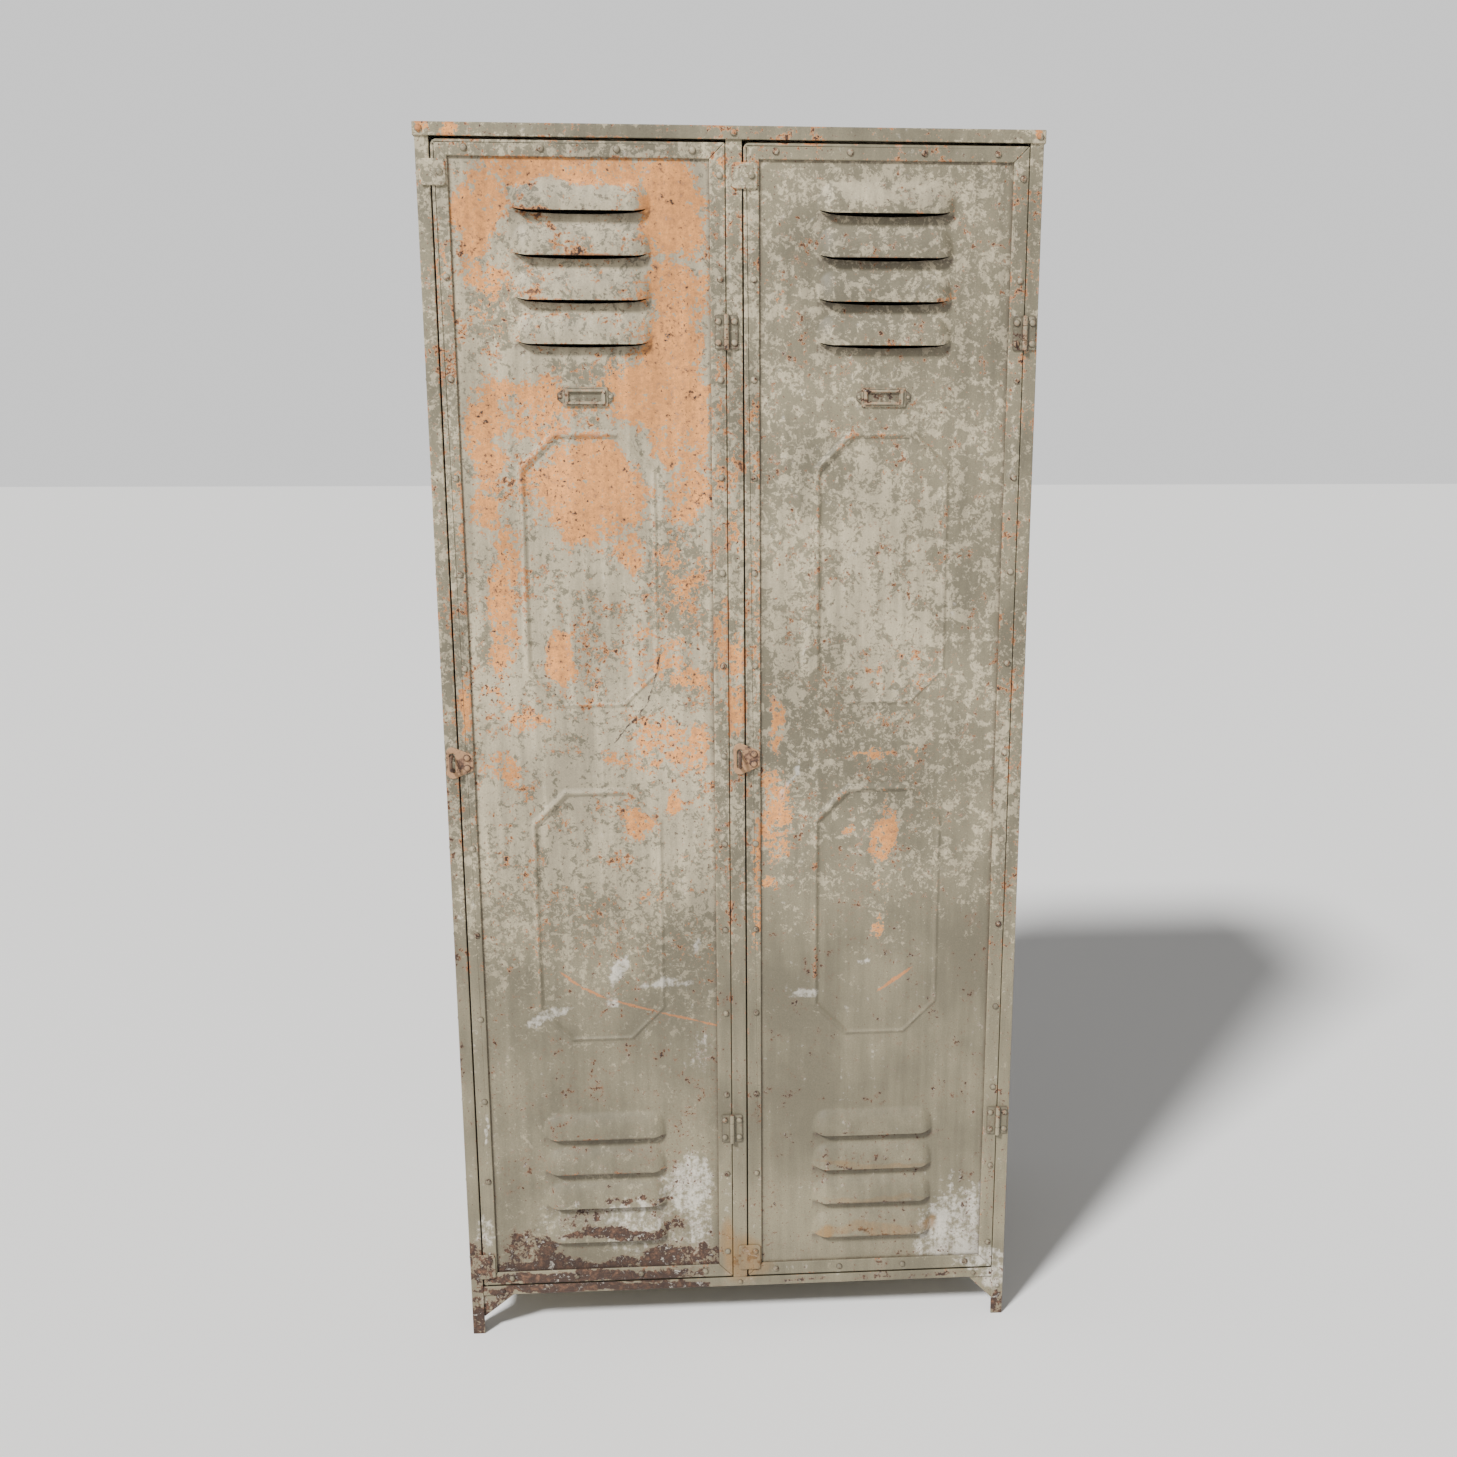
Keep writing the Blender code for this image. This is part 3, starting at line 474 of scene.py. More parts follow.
def crisp(tree, field, level, soft=0.012):
    """A mask with a broken but sharp edge, where a field passes a level."""
    return add(
        tree, "MapRange", {"Value": field, "From Min": level - soft, "From Max": level + soft},
        interpolation_type="SMOOTHSTEP",
    )


def chipped_rim(tree, base, field, level, depth):
    """Darken a thin line along the broken edge of a coat, where dirt gathers."""
    soft = crisp(tree, field, level, 0.02)
    rest = add(tree, "Math", {0: 1.0, 1: soft}, operation="SUBTRACT")
    line = add(tree, "Math", {0: soft, 1: rest}, operation="MULTIPLY")
    value = add(tree, "Math", {0: line, 1: -4 * depth, 2: 1.0}, operation="MULTIPLY_ADD")
    return add(tree, "HueSaturation", {"Color": base, "Value": value})


def shaded(tree, base, field, start, end, dark, light):
    """A colour's brightness, led from dark to light as a field goes from start to end."""
    value = add(tree, "MapRange", {"Value": field, "From Min": start, "From Max": end, "To Min": dark,
                                   "To Max": light})
    return add(tree, "HueSaturation", {"Color": base, "Value": value})


def coat(tree, mask, below, above):
    """One colour over another, where the mask is."""
    return add(tree, "Mix", {0: mask, 6: below, 7: above}, data_type="RGBA")


def opaque(value):
    return (*value, 1)


def worn_enamel(name, colours, primer=(), olive=(), rust=(), ochre=(), chalk=(), lines=(), pinkish=(),
                olive_level=0.0, primer_level=0.0, rust_level=0.0, wear=0.10, rubbed=0.0, seed=0.0,
                tone=1.0):
    """Brushed alkyd enamel in two coats over an orange primer, on sheet steel.

    Old enamel is satin, and it chips in flat islands with sharp broken edges: the pale
    undercoat shows first, then the primer, then specks of rust. Rims and rivets wear first.
    """
    material, tree = start_material(name)
    place = add(tree, "TexCoord").outputs["Object"]
    place = add(tree, "VectorMath", {0: place, 1: (seed, seed * 0.7, seed * 1.3)}, operation="ADD")
    here = add(tree, "TexCoord").outputs["Object"]
    strayed = strays(tree, place, here, noise(60, 3), 0.03)
    shaken = strays(tree, place, here, noise(9, 4), 0.007)

    # Islands of lost paint are 20 to 60 mm across, with edges that break down to 2 mm.
    islands = add(tree, "TexNoise", {"Vector": place, **noise(44, 9, 0.68, 0.3)})
    flakes = add(tree, "TexNoise", {"Vector": place, **noise(9, 5, 0.66)})
    moved = add(tree, "VectorMath", {0: place, 1: (3.1, 1.7, 5.3)}, operation="ADD")
    specks = add(tree, "TexNoise", {"Vector": moved, **noise(4.2, 3, 0.6)})
    loss = add(tree, "Math", {0: flakes, 1: 0.85, 2: -0.66}, operation="MULTIPLY_ADD")
    loss = add(tree, "Math", {0: specks, 1: 0.5, 2: loss}, operation="MULTIPLY_ADD")
    loss = add(tree, "Math", {0: islands, 1: 0.95, 2: loss}, operation="MULTIPLY_ADD")
    second = add(tree, "TexNoise", {"Vector": moved, **noise(15, 9, 0.76, 0.5)})
    grain = add(tree, "TexNoise", {"Vector": place, **noise(2.2, 3, 0.7)})
    tall = add(tree, "Mapping", {"Vector": place, "Scale": (1.0, 1.0, 0.07)})
    streaks = add(tree, "TexNoise", {"Vector": tall, **noise(14, 5, 0.6)})
    cloud = add(tree, "TexNoise", {"Vector": moved, **noise(190, 4, 0.55)})
    rim = add(tree, "Attribute", attribute_name="wear").outputs["Fac"]
    height = add(tree, "SeparateXYZ", {0: here}).outputs["Z"]

    # Top coat: what stays of it is olive, and it holds better on the lower third.
    low_third = add(
        tree, "MapRange", {"Value": height, "From Min": 0.86, "From Max": 0.42, "To Max": 0.16},
        interpolation_type="SMOOTHSTEP",
    )
    hold = add(tree, "Math", {0: second, 1: 1.15, 2: low_third}, operation="MULTIPLY_ADD")
    hold = add(tree, "Math", {0: islands, 1: 0.4, 2: hold}, operation="MULTIPLY_ADD")
    hold = add(tree, "Math", {0: specks, 1: 0.35, 2: hold}, operation="MULTIPLY_ADD")
    hold = add(tree, "Math", {0: hold, 1: olive_level - 0.455}, operation="ADD")
    if olive:
        hold = add(tree, "Math", {0: hold, 1: spread(tree, strayed, olive)}, operation="ADD")
    olive_mask = crisp(tree, hold, 0.55, 0.03)
    pale = shaded(tree, opaque(colours.under_coat), streaks, 0.3, 0.7, 0.9, 1.1)
    dull = shaded(tree, opaque(colours.top_coat), cloud, 0.3, 0.7, 0.88, 1.12)
    faded = add(tree, "Math", {0: low_third, 1: 3.5}, operation="MULTIPLY")
    pale = coat(tree, faded, pale, dull)
    base = chipped_rim(tree, coat(tree, olive_mask, pale, dull), hold, 0.55, 0.16)

    # Primer
    bare = add(tree, "Math", {0: low_third, 1: -0.45, 2: loss}, operation="MULTIPLY_ADD")
    bare = add(tree, "Math", {0: bare, 1: primer_level}, operation="ADD")
    if primer:
        bare = add(tree, "Math", {0: bare, 1: spread(tree, strayed, primer)}, operation="ADD")
    rim_loss = add(tree, "Math", {0: rim, 1: wear, 2: bare}, operation="MULTIPLY_ADD")
    primer_mask = crisp(tree, rim_loss, 0.665)
    rim_of_chip = crisp(tree, rim_loss, 0.64, 0.02)
    base = coat(tree, rim_of_chip, base, add(tree, "HueSaturation", {"Color": pale, "Value": 1.06}))
    stain = add(tree, "Math", {0: rim, 1: 0.22, 2: flakes}, operation="MULTIPLY_ADD")
    stain = add(tree, "MapRange", {"Value": stain, "From Min": 0.42, "From Max": 0.72})
    orange = coat(tree, stain, opaque(colours.primer), opaque(colours.primer_dark))
    base = chipped_rim(tree, coat(tree, primer_mask, base, orange), rim_loss, 0.66, 0.2)
    if pinkish:
        rubbed = add(tree, "Math", {0: marks(tree, shaken, pinkish), 1: flakes}, operation="MULTIPLY")
        base = coat(tree, crisp(tree, rubbed, 0.22, 0.12), base, opaque(colours.primer_dark))

    if rubbed:
        polish = add(tree, "Math", {0: rim, 1: rubbed}, operation="MULTIPLY")
        base = coat(tree, polish, base, add(tree, "HueSaturation", {"Color": pale, "Value": 1.12}))

    # Specks of rust, 1 to 3 mm across, in loose swarms
    swarm = add(tree, "MapRange", {"Value": cloud, "From Min": 0.35, "From Max": 0.7, "To Min": -0.045,
                                   "To Max": 0.04})
    swarm = add(tree, "Math", {0: primer_mask, 1: 0.03, 2: swarm}, operation="MULTIPLY_ADD")
    speckled = add(tree, "Math", {0: specks, 1: swarm}, operation="ADD")
    speck_mask = crisp(tree, speckled, 0.672, 0.03)
    base = coat(tree, speck_mask, base, opaque(colours.rust))
    pits = crisp(tree, speckled, 0.70, 0.02)
    base = coat(tree, pits, base, opaque(colours.rust_dark))

    # Chalk: scuffs, and paint that has come up white. On the right door and the bars beside it, the soft
    # spots at the lower right are a painted pool of light.
    if chalk:
        chalk_and_glare_spots = spread(tree, strayed, chalk)
        ripple = add(tree, "Math", {0: flakes, 1: 0.8, 2: chalk_and_glare_spots}, operation="MULTIPLY_ADD")
        ripple = add(tree, "Math", {0: streaks, 1: 0.3, 2: ripple}, operation="MULTIPLY_ADD")
        chalk_and_glare_mask = add(tree, "Math", {0: crisp(tree, ripple, 0.73, 0.10), 1: 0.72}, operation="MULTIPLY")
        base = coat(tree, chalk_and_glare_mask, base, opaque(colours.chalk))

    # Rust that has eaten through
    rusty = add(tree, "Math", {0: loss, 1: rust_level}, operation="ADD")
    if rust:
        rusty = add(tree, "Math", {0: rusty, 1: spread(tree, strayed, rust)}, operation="ADD")
    rust_mask = crisp(tree, rusty, 0.70, 0.02)
    halo = crisp(tree, rusty, 0.64, 0.06)
    base = coat(tree, add(tree, "Math", {0: halo, 1: 0.45}, operation="MULTIPLY"), base,
                opaque(colours.rust))
    red_brown = coat(tree, add(tree, "MapRange", {"Value": flakes, "From Min": 0.4, "From Max": 0.62}),
                     opaque(colours.rust_dark), opaque(colours.rust))
    red_brown = coat(tree, crisp(tree, second, 0.45, 0.1), red_brown, opaque(colours.rust_dark))
    base = coat(tree, rust_mask, base, red_brown)
    clinging = add(tree, "Math", {0: rust_mask, 1: crisp(tree, second, 0.60, 0.03)}, operation="MULTIPLY")
    clinging = add(tree, "Math", {0: clinging, 1: 0.6}, operation="MULTIPLY")
    base = coat(tree, clinging, base, opaque(colours.chalk))
    if ochre:
        run = add(tree, "Math", {0: spread(tree, strayed, ochre), 1: streaks}, operation="MULTIPLY")
        base = coat(tree, add(tree, "MapRange", {"Value": run, "From Min": 0.05, "From Max": 0.6}), base,
                    opaque(colours.rust_yellow))
    if lines:
        dark = crisp(tree, add(tree, "Math", {0: marks(tree, shaken, lines), 1: flakes},
                               operation="MULTIPLY"), 0.3, 0.1)
        base = coat(tree, dark, base, opaque(colours.rust_dark))
    smoke = add(tree, "Math", {0: streaks, 1: 0.5, 2: cloud}, operation="MULTIPLY_ADD")
    base = shaded(tree, base, smoke, 0.62, 0.88, 0.77, 1.16)
    # Painted shade, and some dirt, from the piece's own attribute: broken up by the flakes and darkened to
    # old rust.
    dirt_and_shade = add(tree, "Attribute", attribute_name="dirt_and_shade").outputs["Fac"]
    ragged = add(tree, "Math", {0: flakes, 1: 1.3, 2: -0.15}, operation="MULTIPLY_ADD")
    dirt_and_shade = add(tree, "Math", {0: dirt_and_shade, 1: ragged}, operation="MULTIPLY", use_clamp=True)
    base = coat(tree, dirt_and_shade, base, opaque(colours.rust_dark))
    base = shaded(tree, base, grain, 0.25, 0.75, 0.81 * tone, 1.19 * tone)

    # Paint stands 0.2 mm proud of the primer, rust is rough, and brush marks are faint.
    level = add(tree, "Math", {0: primer_mask, 1: -0.6, 2: 0.8}, operation="MULTIPLY_ADD")
    level = add(tree, "Math", {0: olive_mask, 1: 0.25, 2: level}, operation="MULTIPLY_ADD")
    level = add(tree, "Math", {0: speck_mask, 1: -0.5, 2: level}, operation="MULTIPLY_ADD")
    rough_rust = add(tree, "Math", {0: rust_mask, 1: flakes}, operation="MULTIPLY")
    level = add(tree, "Math", {0: rough_rust, 1: 1.6, 2: level}, operation="MULTIPLY_ADD")
    level = add(tree, "Math", {0: grain, 1: 0.35, 2: level}, operation="MULTIPLY_ADD")
    level = add(tree, "Math", {0: streaks, 1: 0.4, 2: level}, operation="MULTIPLY_ADD")
    bump = add(tree, "Bump", {"Height": level, "Strength": 0.7, "Distance": 0.3 * MM})

    gloss = add(tree, "Math", {0: primer_mask, 1: 0.22, 2: 0.55}, operation="MULTIPLY_ADD")
    gloss = add(tree, "Math", {0: rust_mask, 1: 0.3, 2: gloss}, operation="MULTIPLY_ADD")
    gloss = add(tree, "Math", {0: flakes, 1: 0.12, 2: gloss}, operation="MULTIPLY_ADD", use_clamp=True)
    shader = add(tree, "BsdfPrincipled", {"Base Color": base, "Roughness": gloss, "Normal": bump,
                                          "Metallic": 0.0, "IOR": 1.5})
    add(tree, "OutputMaterial", {"Surface": shader})
    return material


def rusted_steel(name, colours):
    """Forged mild steel with a tight brown rust, handled so that its rims are lighter."""
    material, tree = start_material(name)
    place = add(tree, "TexCoord").outputs["Object"]
    scale = add(tree, "TexNoise", {"Vector": place, **noise(7, 5, 0.6)})
    grit = add(tree, "TexNoise", {"Vector": place, **noise(1.6, 3, 0.7)})
    rim = add(tree, "Attribute", attribute_name="wear").outputs["Fac"]
    brown = coat(tree, add(tree, "MapRange", {"Value": scale, "From Min": 0.32, "From Max": 0.52}),
                 opaque(colours.rust_dark), opaque(colours.rust))
    lit = add(tree, "Math", {0: rim, 1: 0.14, 2: scale}, operation="MULTIPLY_ADD")
    brown = coat(tree, crisp(tree, lit, 0.55, 0.1), brown, opaque(colours.rust_pale))
    # Painted shade round the rivets' feet, and the staple darkened all over, from the piece's own attribute.
    brown = coat(tree, add(tree, "Attribute", attribute_name="dirt_and_shade").outputs["Fac"], brown,
                 opaque(colours.rust_dark))
    brown = shaded(tree, brown, grit, 0.3, 0.7, 0.85, 1.15)
    level = add(tree, "Math", {0: grit, 1: 0.5, 2: scale}, operation="MULTIPLY_ADD")
    bump = add(tree, "Bump", {"Height": level, "Strength": 0.6, "Distance": 0.4 * MM})
    shader = add(tree, "BsdfPrincipled", {"Base Color": brown, "Roughness": 0.78, "Normal": bump,
                                          "Metallic": 0.0})
    add(tree, "OutputMaterial", {"Surface": shader})
    return material


def drawn_steel(name, colours):
    """Drawn steel tube, dull grey with brown freckles; the drawing leaves fine lines along it."""
    material, tree = start_material(name)
    place = add(tree, "TexCoord").outputs["Object"]
    along = add(tree, "Mapping", {"Vector": place, "Scale": (0.04, 1.0, 1.0)})
    drawn = add(tree, "TexNoise", {"Vector": along, **noise(1.5, 3)})
    freckles = add(tree, "TexNoise", {"Vector": place, **noise(6, 5, 0.7)})
    grey = coat(tree, crisp(tree, freckles, 0.6, 0.04), opaque(colours.steel), opaque(colours.rust))
    bump = add(tree, "Bump", {"Height": drawn, "Strength": 0.3, "Distance": 0.1 * MM})
    rough = add(tree, "MapRange", {"Value": freckles, "From Min": 0.4, "From Max": 0.65, "To Min": 0.32,
                                   "To Max": 0.7})
    metal = add(tree, "MapRange", {"Value": freckles, "From Min": 0.64, "From Max": 0.56})
    shader = add(tree, "BsdfPrincipled", {"Base Color": grey, "Roughness": rough, "Normal": bump,
                                          "Metallic": metal})
    add(tree, "OutputMaterial", {"Surface": shader})
    return material


# Where the paint is gone, in mm from the cabinet's middle and from the ground:
# x, z, half width, half height, strength and, for some, a tilt in degrees.
LEFT_PRIMER = [
    (-205, 1312, 80, 78, 0.25), (-205, 1742, 168, 17, 0.26), (-342, 1692, 36, 60, 0.26),
    (-338, 1604, 34, 26, 0.17), (-345, 1562, 26, 16, 0.10), (-80, 1692, 46, 72, 0.30),
    (-78, 1582, 44, 48, 0.22), (-84, 1505, 48, 50, 0.30), (-110, 1445, 74, 55, 0.30),
    (-75, 1388, 40, 60, 0.25), (-72, 1318, 34, 48, 0.19), (-300, 1432, 78, 46, 0.20),
    (-345, 1380, 30, 58, 0.22), (-202, 1352, 64, 46, 0.30), (-212, 1296, 52, 44, 0.22),
    (-148, 1248, 26, 52, 0.17), (-345, 1300, 24, 62, 0.19), (-322, 1225, 18, 42, 0.18),
    (-332, 1118, 22, 92, 0.22), (-345, 1020, 26, 24, 0.17), (-300, 985, 36, 18, 0.13),
    (-250, 1075, 21, 48, 0.26), (-135, 1060, 36, 28, 0.15), (-140, 1120, 20, 16, 0.11),
    (-90, 1085, 32, 34, 0.18), (-70, 1045, 32, 18, 0.13), (-75, 1190, 30, 58, 0.11),
    (-98, 962, 62, 24, 0.17), (-150, 930, 52, 18, 0.12), (-70, 940, 30, 30, 0.15),
    (-345, 915, 32, 25, 0.18), (-98, 870, 12, 26, 0.20), (-150, 833, 17, 22, 0.18),
    (-135, 712, 22, 14, 0.10),
]
LEFT_OLIVE = [
    (-80, 1180, 46, 88, 0.10), (-75, 1040, 44, 20, 0.10), (-350, 1100, 22, 34, 0.10),
    (-330, 1560, 34, 40, 0.10), (-205, 1765, 190, 8, 0.10), (-200, 1480, 60, 16, 0.12),
]
LEFT_RUST = [
    (-245, 108, 178, 18, 0.39), (-322, 145, 44, 34, 0.24), (-195, 172, 92, 12, 0.33),
    (-165, 222, 70, 5, 0.22), (-110, 116, 62, 22, 0.26), (-45, 120, 30, 22, 0.22),
    (-240, 200, 46, 16, 0.17), (-155, 272, 8, 6, 0.29), (-205, 246, 4, 4, 0.32),
]
LEFT_CHALK = [
    (-80, 240, 40, 62, 0.20), (-170, 200, 62, 30, 0.16), (-150, 148, 82, 24, 0.13),
    (-60, 175, 26, 60, 0.15), (-185, 606, 26, 12, 0.26, 58), (-115, 574, 46, 6, 0.24, 2),
    (-196, 560, 14, 9, 0.2), (-285, 536, 42, 8, 0.2, 15), (-65, 645, 8, 10, 0.26),
    (-270, 190, 60, 40, 0.08), (-60, 470, 22, 30, 0.10),
]
CRACK = [(-108, 1098), (-115, 1060), (-122, 1035), (-130, 1012), (-145, 994), (-163, 974), (-180, 952)]
LONG_SCRATCH = [(-268, 602), (-238, 578), (-200, 558), (-120, 534), (-60, 518), (-22, 506)]
RIGHT_PRIMER = [
    (55, 975, 12, 38, 0.24), (60, 832, 27, 62, 0.22), (52, 885, 16, 30, 0.18), (48, 735, 10, 18, 0.18),
    (220, 800, 21, 42, 0.27), (215, 860, 11, 22, 0.18), (170, 815, 13, 12, 0.18),
    (215, 718, 15, 30, 0.18), (216, 668, 15, 24, 0.19), (200, 937, 38, 9, 0.19),
    (262, 938, 15, 8, 0.15), (55, 1580, 14, 32, 0.08), (310, 1572, 30, 13, 0.08),
    (190, 1340, 26, 16, 0.08), (150, 1270, 22, 22, 0.09), (230, 1060, 60, 30, 0.06),
    (200, 990, 60, 10, 0.06),
]
RIGHT_PALE = [(205, 1185, 92, 170, -0.10), (80, 1150, 40, 160, -0.07), (215, 1720, 100, 22, -0.12)]
# Chalky scuffs and streaks; the two wide soft spots at z 150 and z 110 are a painted pool of light.
RIGHT_CHALK_AND_GLARE = [
    (102, 566, 28, 9, 0.26), (180, 606, 16, 4, 0.2), (345, 150, 66, 74, 0.20), (372, 110, 44, 34, 0.24),
    (76, 905, 34, 3, 0.28, 80), (340, 215, 50, 3, 0.2, 88), (378, 225, 60, 2, 0.2, 90),
    (330, 235, 40, 2, 0.18, 86),
]
RIGHT_RUST = [
    (212, 153, 84, 4, 0.13), (212, 211, 84, 3, 0.11), (212, 269, 84, 3, 0.12), (212, 327, 84, 2, 0.10),
]
RIGHT_OCHRE = [
    (212, 160, 88, 12, 0.5), (300, 165, 12, 12, 0.9), (140, 160, 12, 10, 0.8),
    (212, 275, 88, 6, 0.5), (212, 217, 88, 6, 0.4),
]
BAR_PRIMER = [
    (0, 1030, 12, 105, 0.20), (-388, 1010, 9, 52, 0.22), (-386, 1300, 9, 60, 0.09),
    (-392, 1620, 8, 22, 0.10), (-22, 1100, 9, 80, 0.14), (-22, 1740, 10, 24, 0.10),
    (26, 700, 8, 70, 0.18), (28, 800, 8, 60, 0.17), (28, 1240, 8, 200, 0.10),
    (-378, 1791, 15, 8, 0.26), (-416, 1795, 9, 10, 0.24), (412, 1795, 11, 8, 0.2),
    (-24, 1380, 8, 120, 0.08), (0, 1280, 8, 90, 0.09),
]
BAR_OLIVE = [
    (215, 1768, 200, 15, 0.18), (30, 1791, 400, 12, 0.2), (405, 1400, 26, 380, 0.08),
    (-415, 1500, 9, 300, 0.05),
]
BAR_RUST = [
    (-410, 118, 26, 46, 0.27), (-240, 94, 195, 12, 0.37), (-230, 74, 205, 9, 0.40),
    (-416, 22, 18, 30, 0.30), (414, 14, 16, 20, 0.23), (12, 108, 26, 30, 0.17),
    (210, 74, 215, 5, 0.16), (-395, 60, 34, 24, 0.16), (-420, 700, 4, 300, 0.07),
    (-402, 140, 4, 30, 0.26),
]
BAR_OCHRE = [(5, 118, 36, 44, 0.7), (-20, 150, 14, 40, 0.6), (30, 110, 26, 30, 0.5)]
# Chalky marks on the bars; the spots at x 385 and x 408, low on the right, are a painted pool of light.
BAR_CHALK_AND_GLARE = [
    (-404, 172, 18, 36, 0.14), (385, 100, 42, 22, 0.2), (408, 62, 20, 30, 0.2),
    (-388, 350, 4, 26, 0.18), (-405, 40, 8, 30, 0.12), (-150, 92, 120, 5, 0.10),
]

SHEET_SPOTS = {  # a sheet's own attributes
    "left": {"primer": LEFT_PRIMER, "olive": LEFT_OLIVE, "rust": LEFT_RUST, "chalk": LEFT_CHALK},
    "right": {"primer": RIGHT_PRIMER, "olive": RIGHT_PALE, "rust": RIGHT_RUST, "ochre": RIGHT_OCHRE,
              "chalk": RIGHT_CHALK_AND_GLARE},
}
FINISHES = {  # how each finish is made, and its settings
    "Left door enamel": (worn_enamel, {
        "primer": "primer", "olive": "olive", "rust": "rust", "chalk": "chalk",
        "lines": list(stroke(CRACK, 1.7, 0.7)), "pinkish": list(stroke(LONG_SCRATCH, 2.2, 0.7)),
        "primer_level": 0.045, "rubbed": 0.4, "seed": 0.31,
    }),
    "Right door enamel": (worn_enamel, {
        "primer": "primer", "olive": "olive", "rust": "rust", "ochre": "ochre", "chalk": "chalk",
        "pinkish": [(238, 578, 34, 3, 0.8, 35)], "olive_level": 0.10, "rubbed": 0.4, "seed": 0.77,
    }),
    "Bar enamel": (worn_enamel, {
        "primer": BAR_PRIMER, "olive": BAR_OLIVE, "rust": BAR_RUST, "ochre": BAR_OCHRE, "chalk": BAR_CHALK_AND_GLARE,
        "olive_level": 0.07, "primer_level": 0.02, "wear": 0.07, "seed": 1.13,
    }),
    "Fitting enamel": (worn_enamel, {
        "olive_level": 0.12, "rust_level": 0.06, "wear": 0.16, "rubbed": 0.6, "seed": 1.9, "tone": 0.9,
    }),
    "Rivet enamel": (worn_enamel, {
        "rust_level": 0.10, "wear": 0.12, "rubbed": 0.35, "seed": 2.4, "tone": 0.82,
    }),
    "Inner enamel": (worn_enamel, {
        "olive_level": 0.10, "primer_level": -0.03, "rust_level": -0.03, "wear": 0.08, "seed": 3.2,
    }),
    "Rusted forged steel": (rusted_steel, {}),
    "Drawn steel tube": (drawn_steel, {}),
}


def finish_of(name):
    """The finish of this name, made when a piece first needs it."""
    make, settings = FINISHES[name]
    return bpy.data.materials.get(name) or make(name, bpy.context.scene.locker_colours, **settings)


# ---------------------------------------------------------------- doors

DENTS = {  # x, z, radius x, radius z, part of the full depth
    "left": ((-300, 1180, 70, 160, 0.5), (-90, 900, 60, 80, 0.6), (-230, 690, 60, 120, 0.7),
             (-120, 470, 110, 60, 0.5), (-330, 470, 60, 70, -0.4), (-200, 1430, 120, 50, 0.4),
             (-240, 120, 140, 30, 0.8), (-80, 600, 30, 30, 0.5)),
    "right": ((200, 1180, 70, 120, 0.6), (110, 930, 60, 90, 0.5), (240, 690, 60, 130, 0.8),
              (300, 470, 70, 70, 0.6), (120, 470, 60, 60, -0.4), (200, 1430, 120, 50, 0.4),
              (230, 110, 120, 25, 0.5), (340, 960, 40, 90, 0.4)),
}


def bead_rise(dx, dz, half_height, sizes):
    """Height of an octagonal bead at a place, fullest on the sides that were struck first."""
    diagonal = (abs(dx) + abs(dz) - BEAD_HALF - half_height + BEAD_CHAMFER) * 0.7071
    turn_x, turn_z = math.copysign(1, dx), math.copysign(1, dz)
    sides = (
        (abs(dx) - BEAD_HALF, turn_x, 0), (abs(dz) - half_height, 0, turn_z),
        (diagonal, turn_x * 0.7071, turn_z * 0.7071),
    )
    nearest = max(away for away, _, _ in sides)
    if abs(nearest) > sizes.bead_width:
        return 0
    shares = [math.exp((away - nearest) / (4 * MM)) for away, _, _ in sides]
    facing = sum(s * (z - x) for s, (_, x, z) in zip(shares, sides)) / sum(shares)
    strength = 0.78 + 0.22 * facing
    across = nearest / (sizes.bead_width / 2 * (0.8 + 0.2 * facing))
    return sizes.bead_rise * strength * max(0, 1 - across * across) ** 1.5


def press_louvre(vert, dx, rise, upper, sizes, worn):
    """Push a point of the sheet out under a louvre's hood, and open the slot at its lip."""
    end = min(1, max(0, abs(dx) - LOUVRE_HALF + LOUVRE_END) / LOUVRE_END)
    fade = max(0, 1 - abs(rise) / (24 * MM)) ** 2 * max(0, 1 - max(0, abs(dx) - LOUVRE_HALF) / (8 * MM))
    if rise > 1e-6 or upper:
        height = max(0, rise) / LOUVRE_TALL
        vert.co.y -= sizes.louvre_depth * max(0, 1 - end ** 2.4 - height ** 2.6) ** 1.1
        vert.co.z += sizes.louvre_curl * end * end * fade
        vert[worn] = max(vert[worn], 1 - rise / (4 * MM)) if end < 1 else vert[worn]
        return
    middle = max(0, 1 - (dx / LOUVRE_HALF) ** 2)
    vert.co.z += (sizes.louvre_curl * end * end - 4 * MM * middle) * fade
    vert.co.y += 1.2 * MM * middle * fade


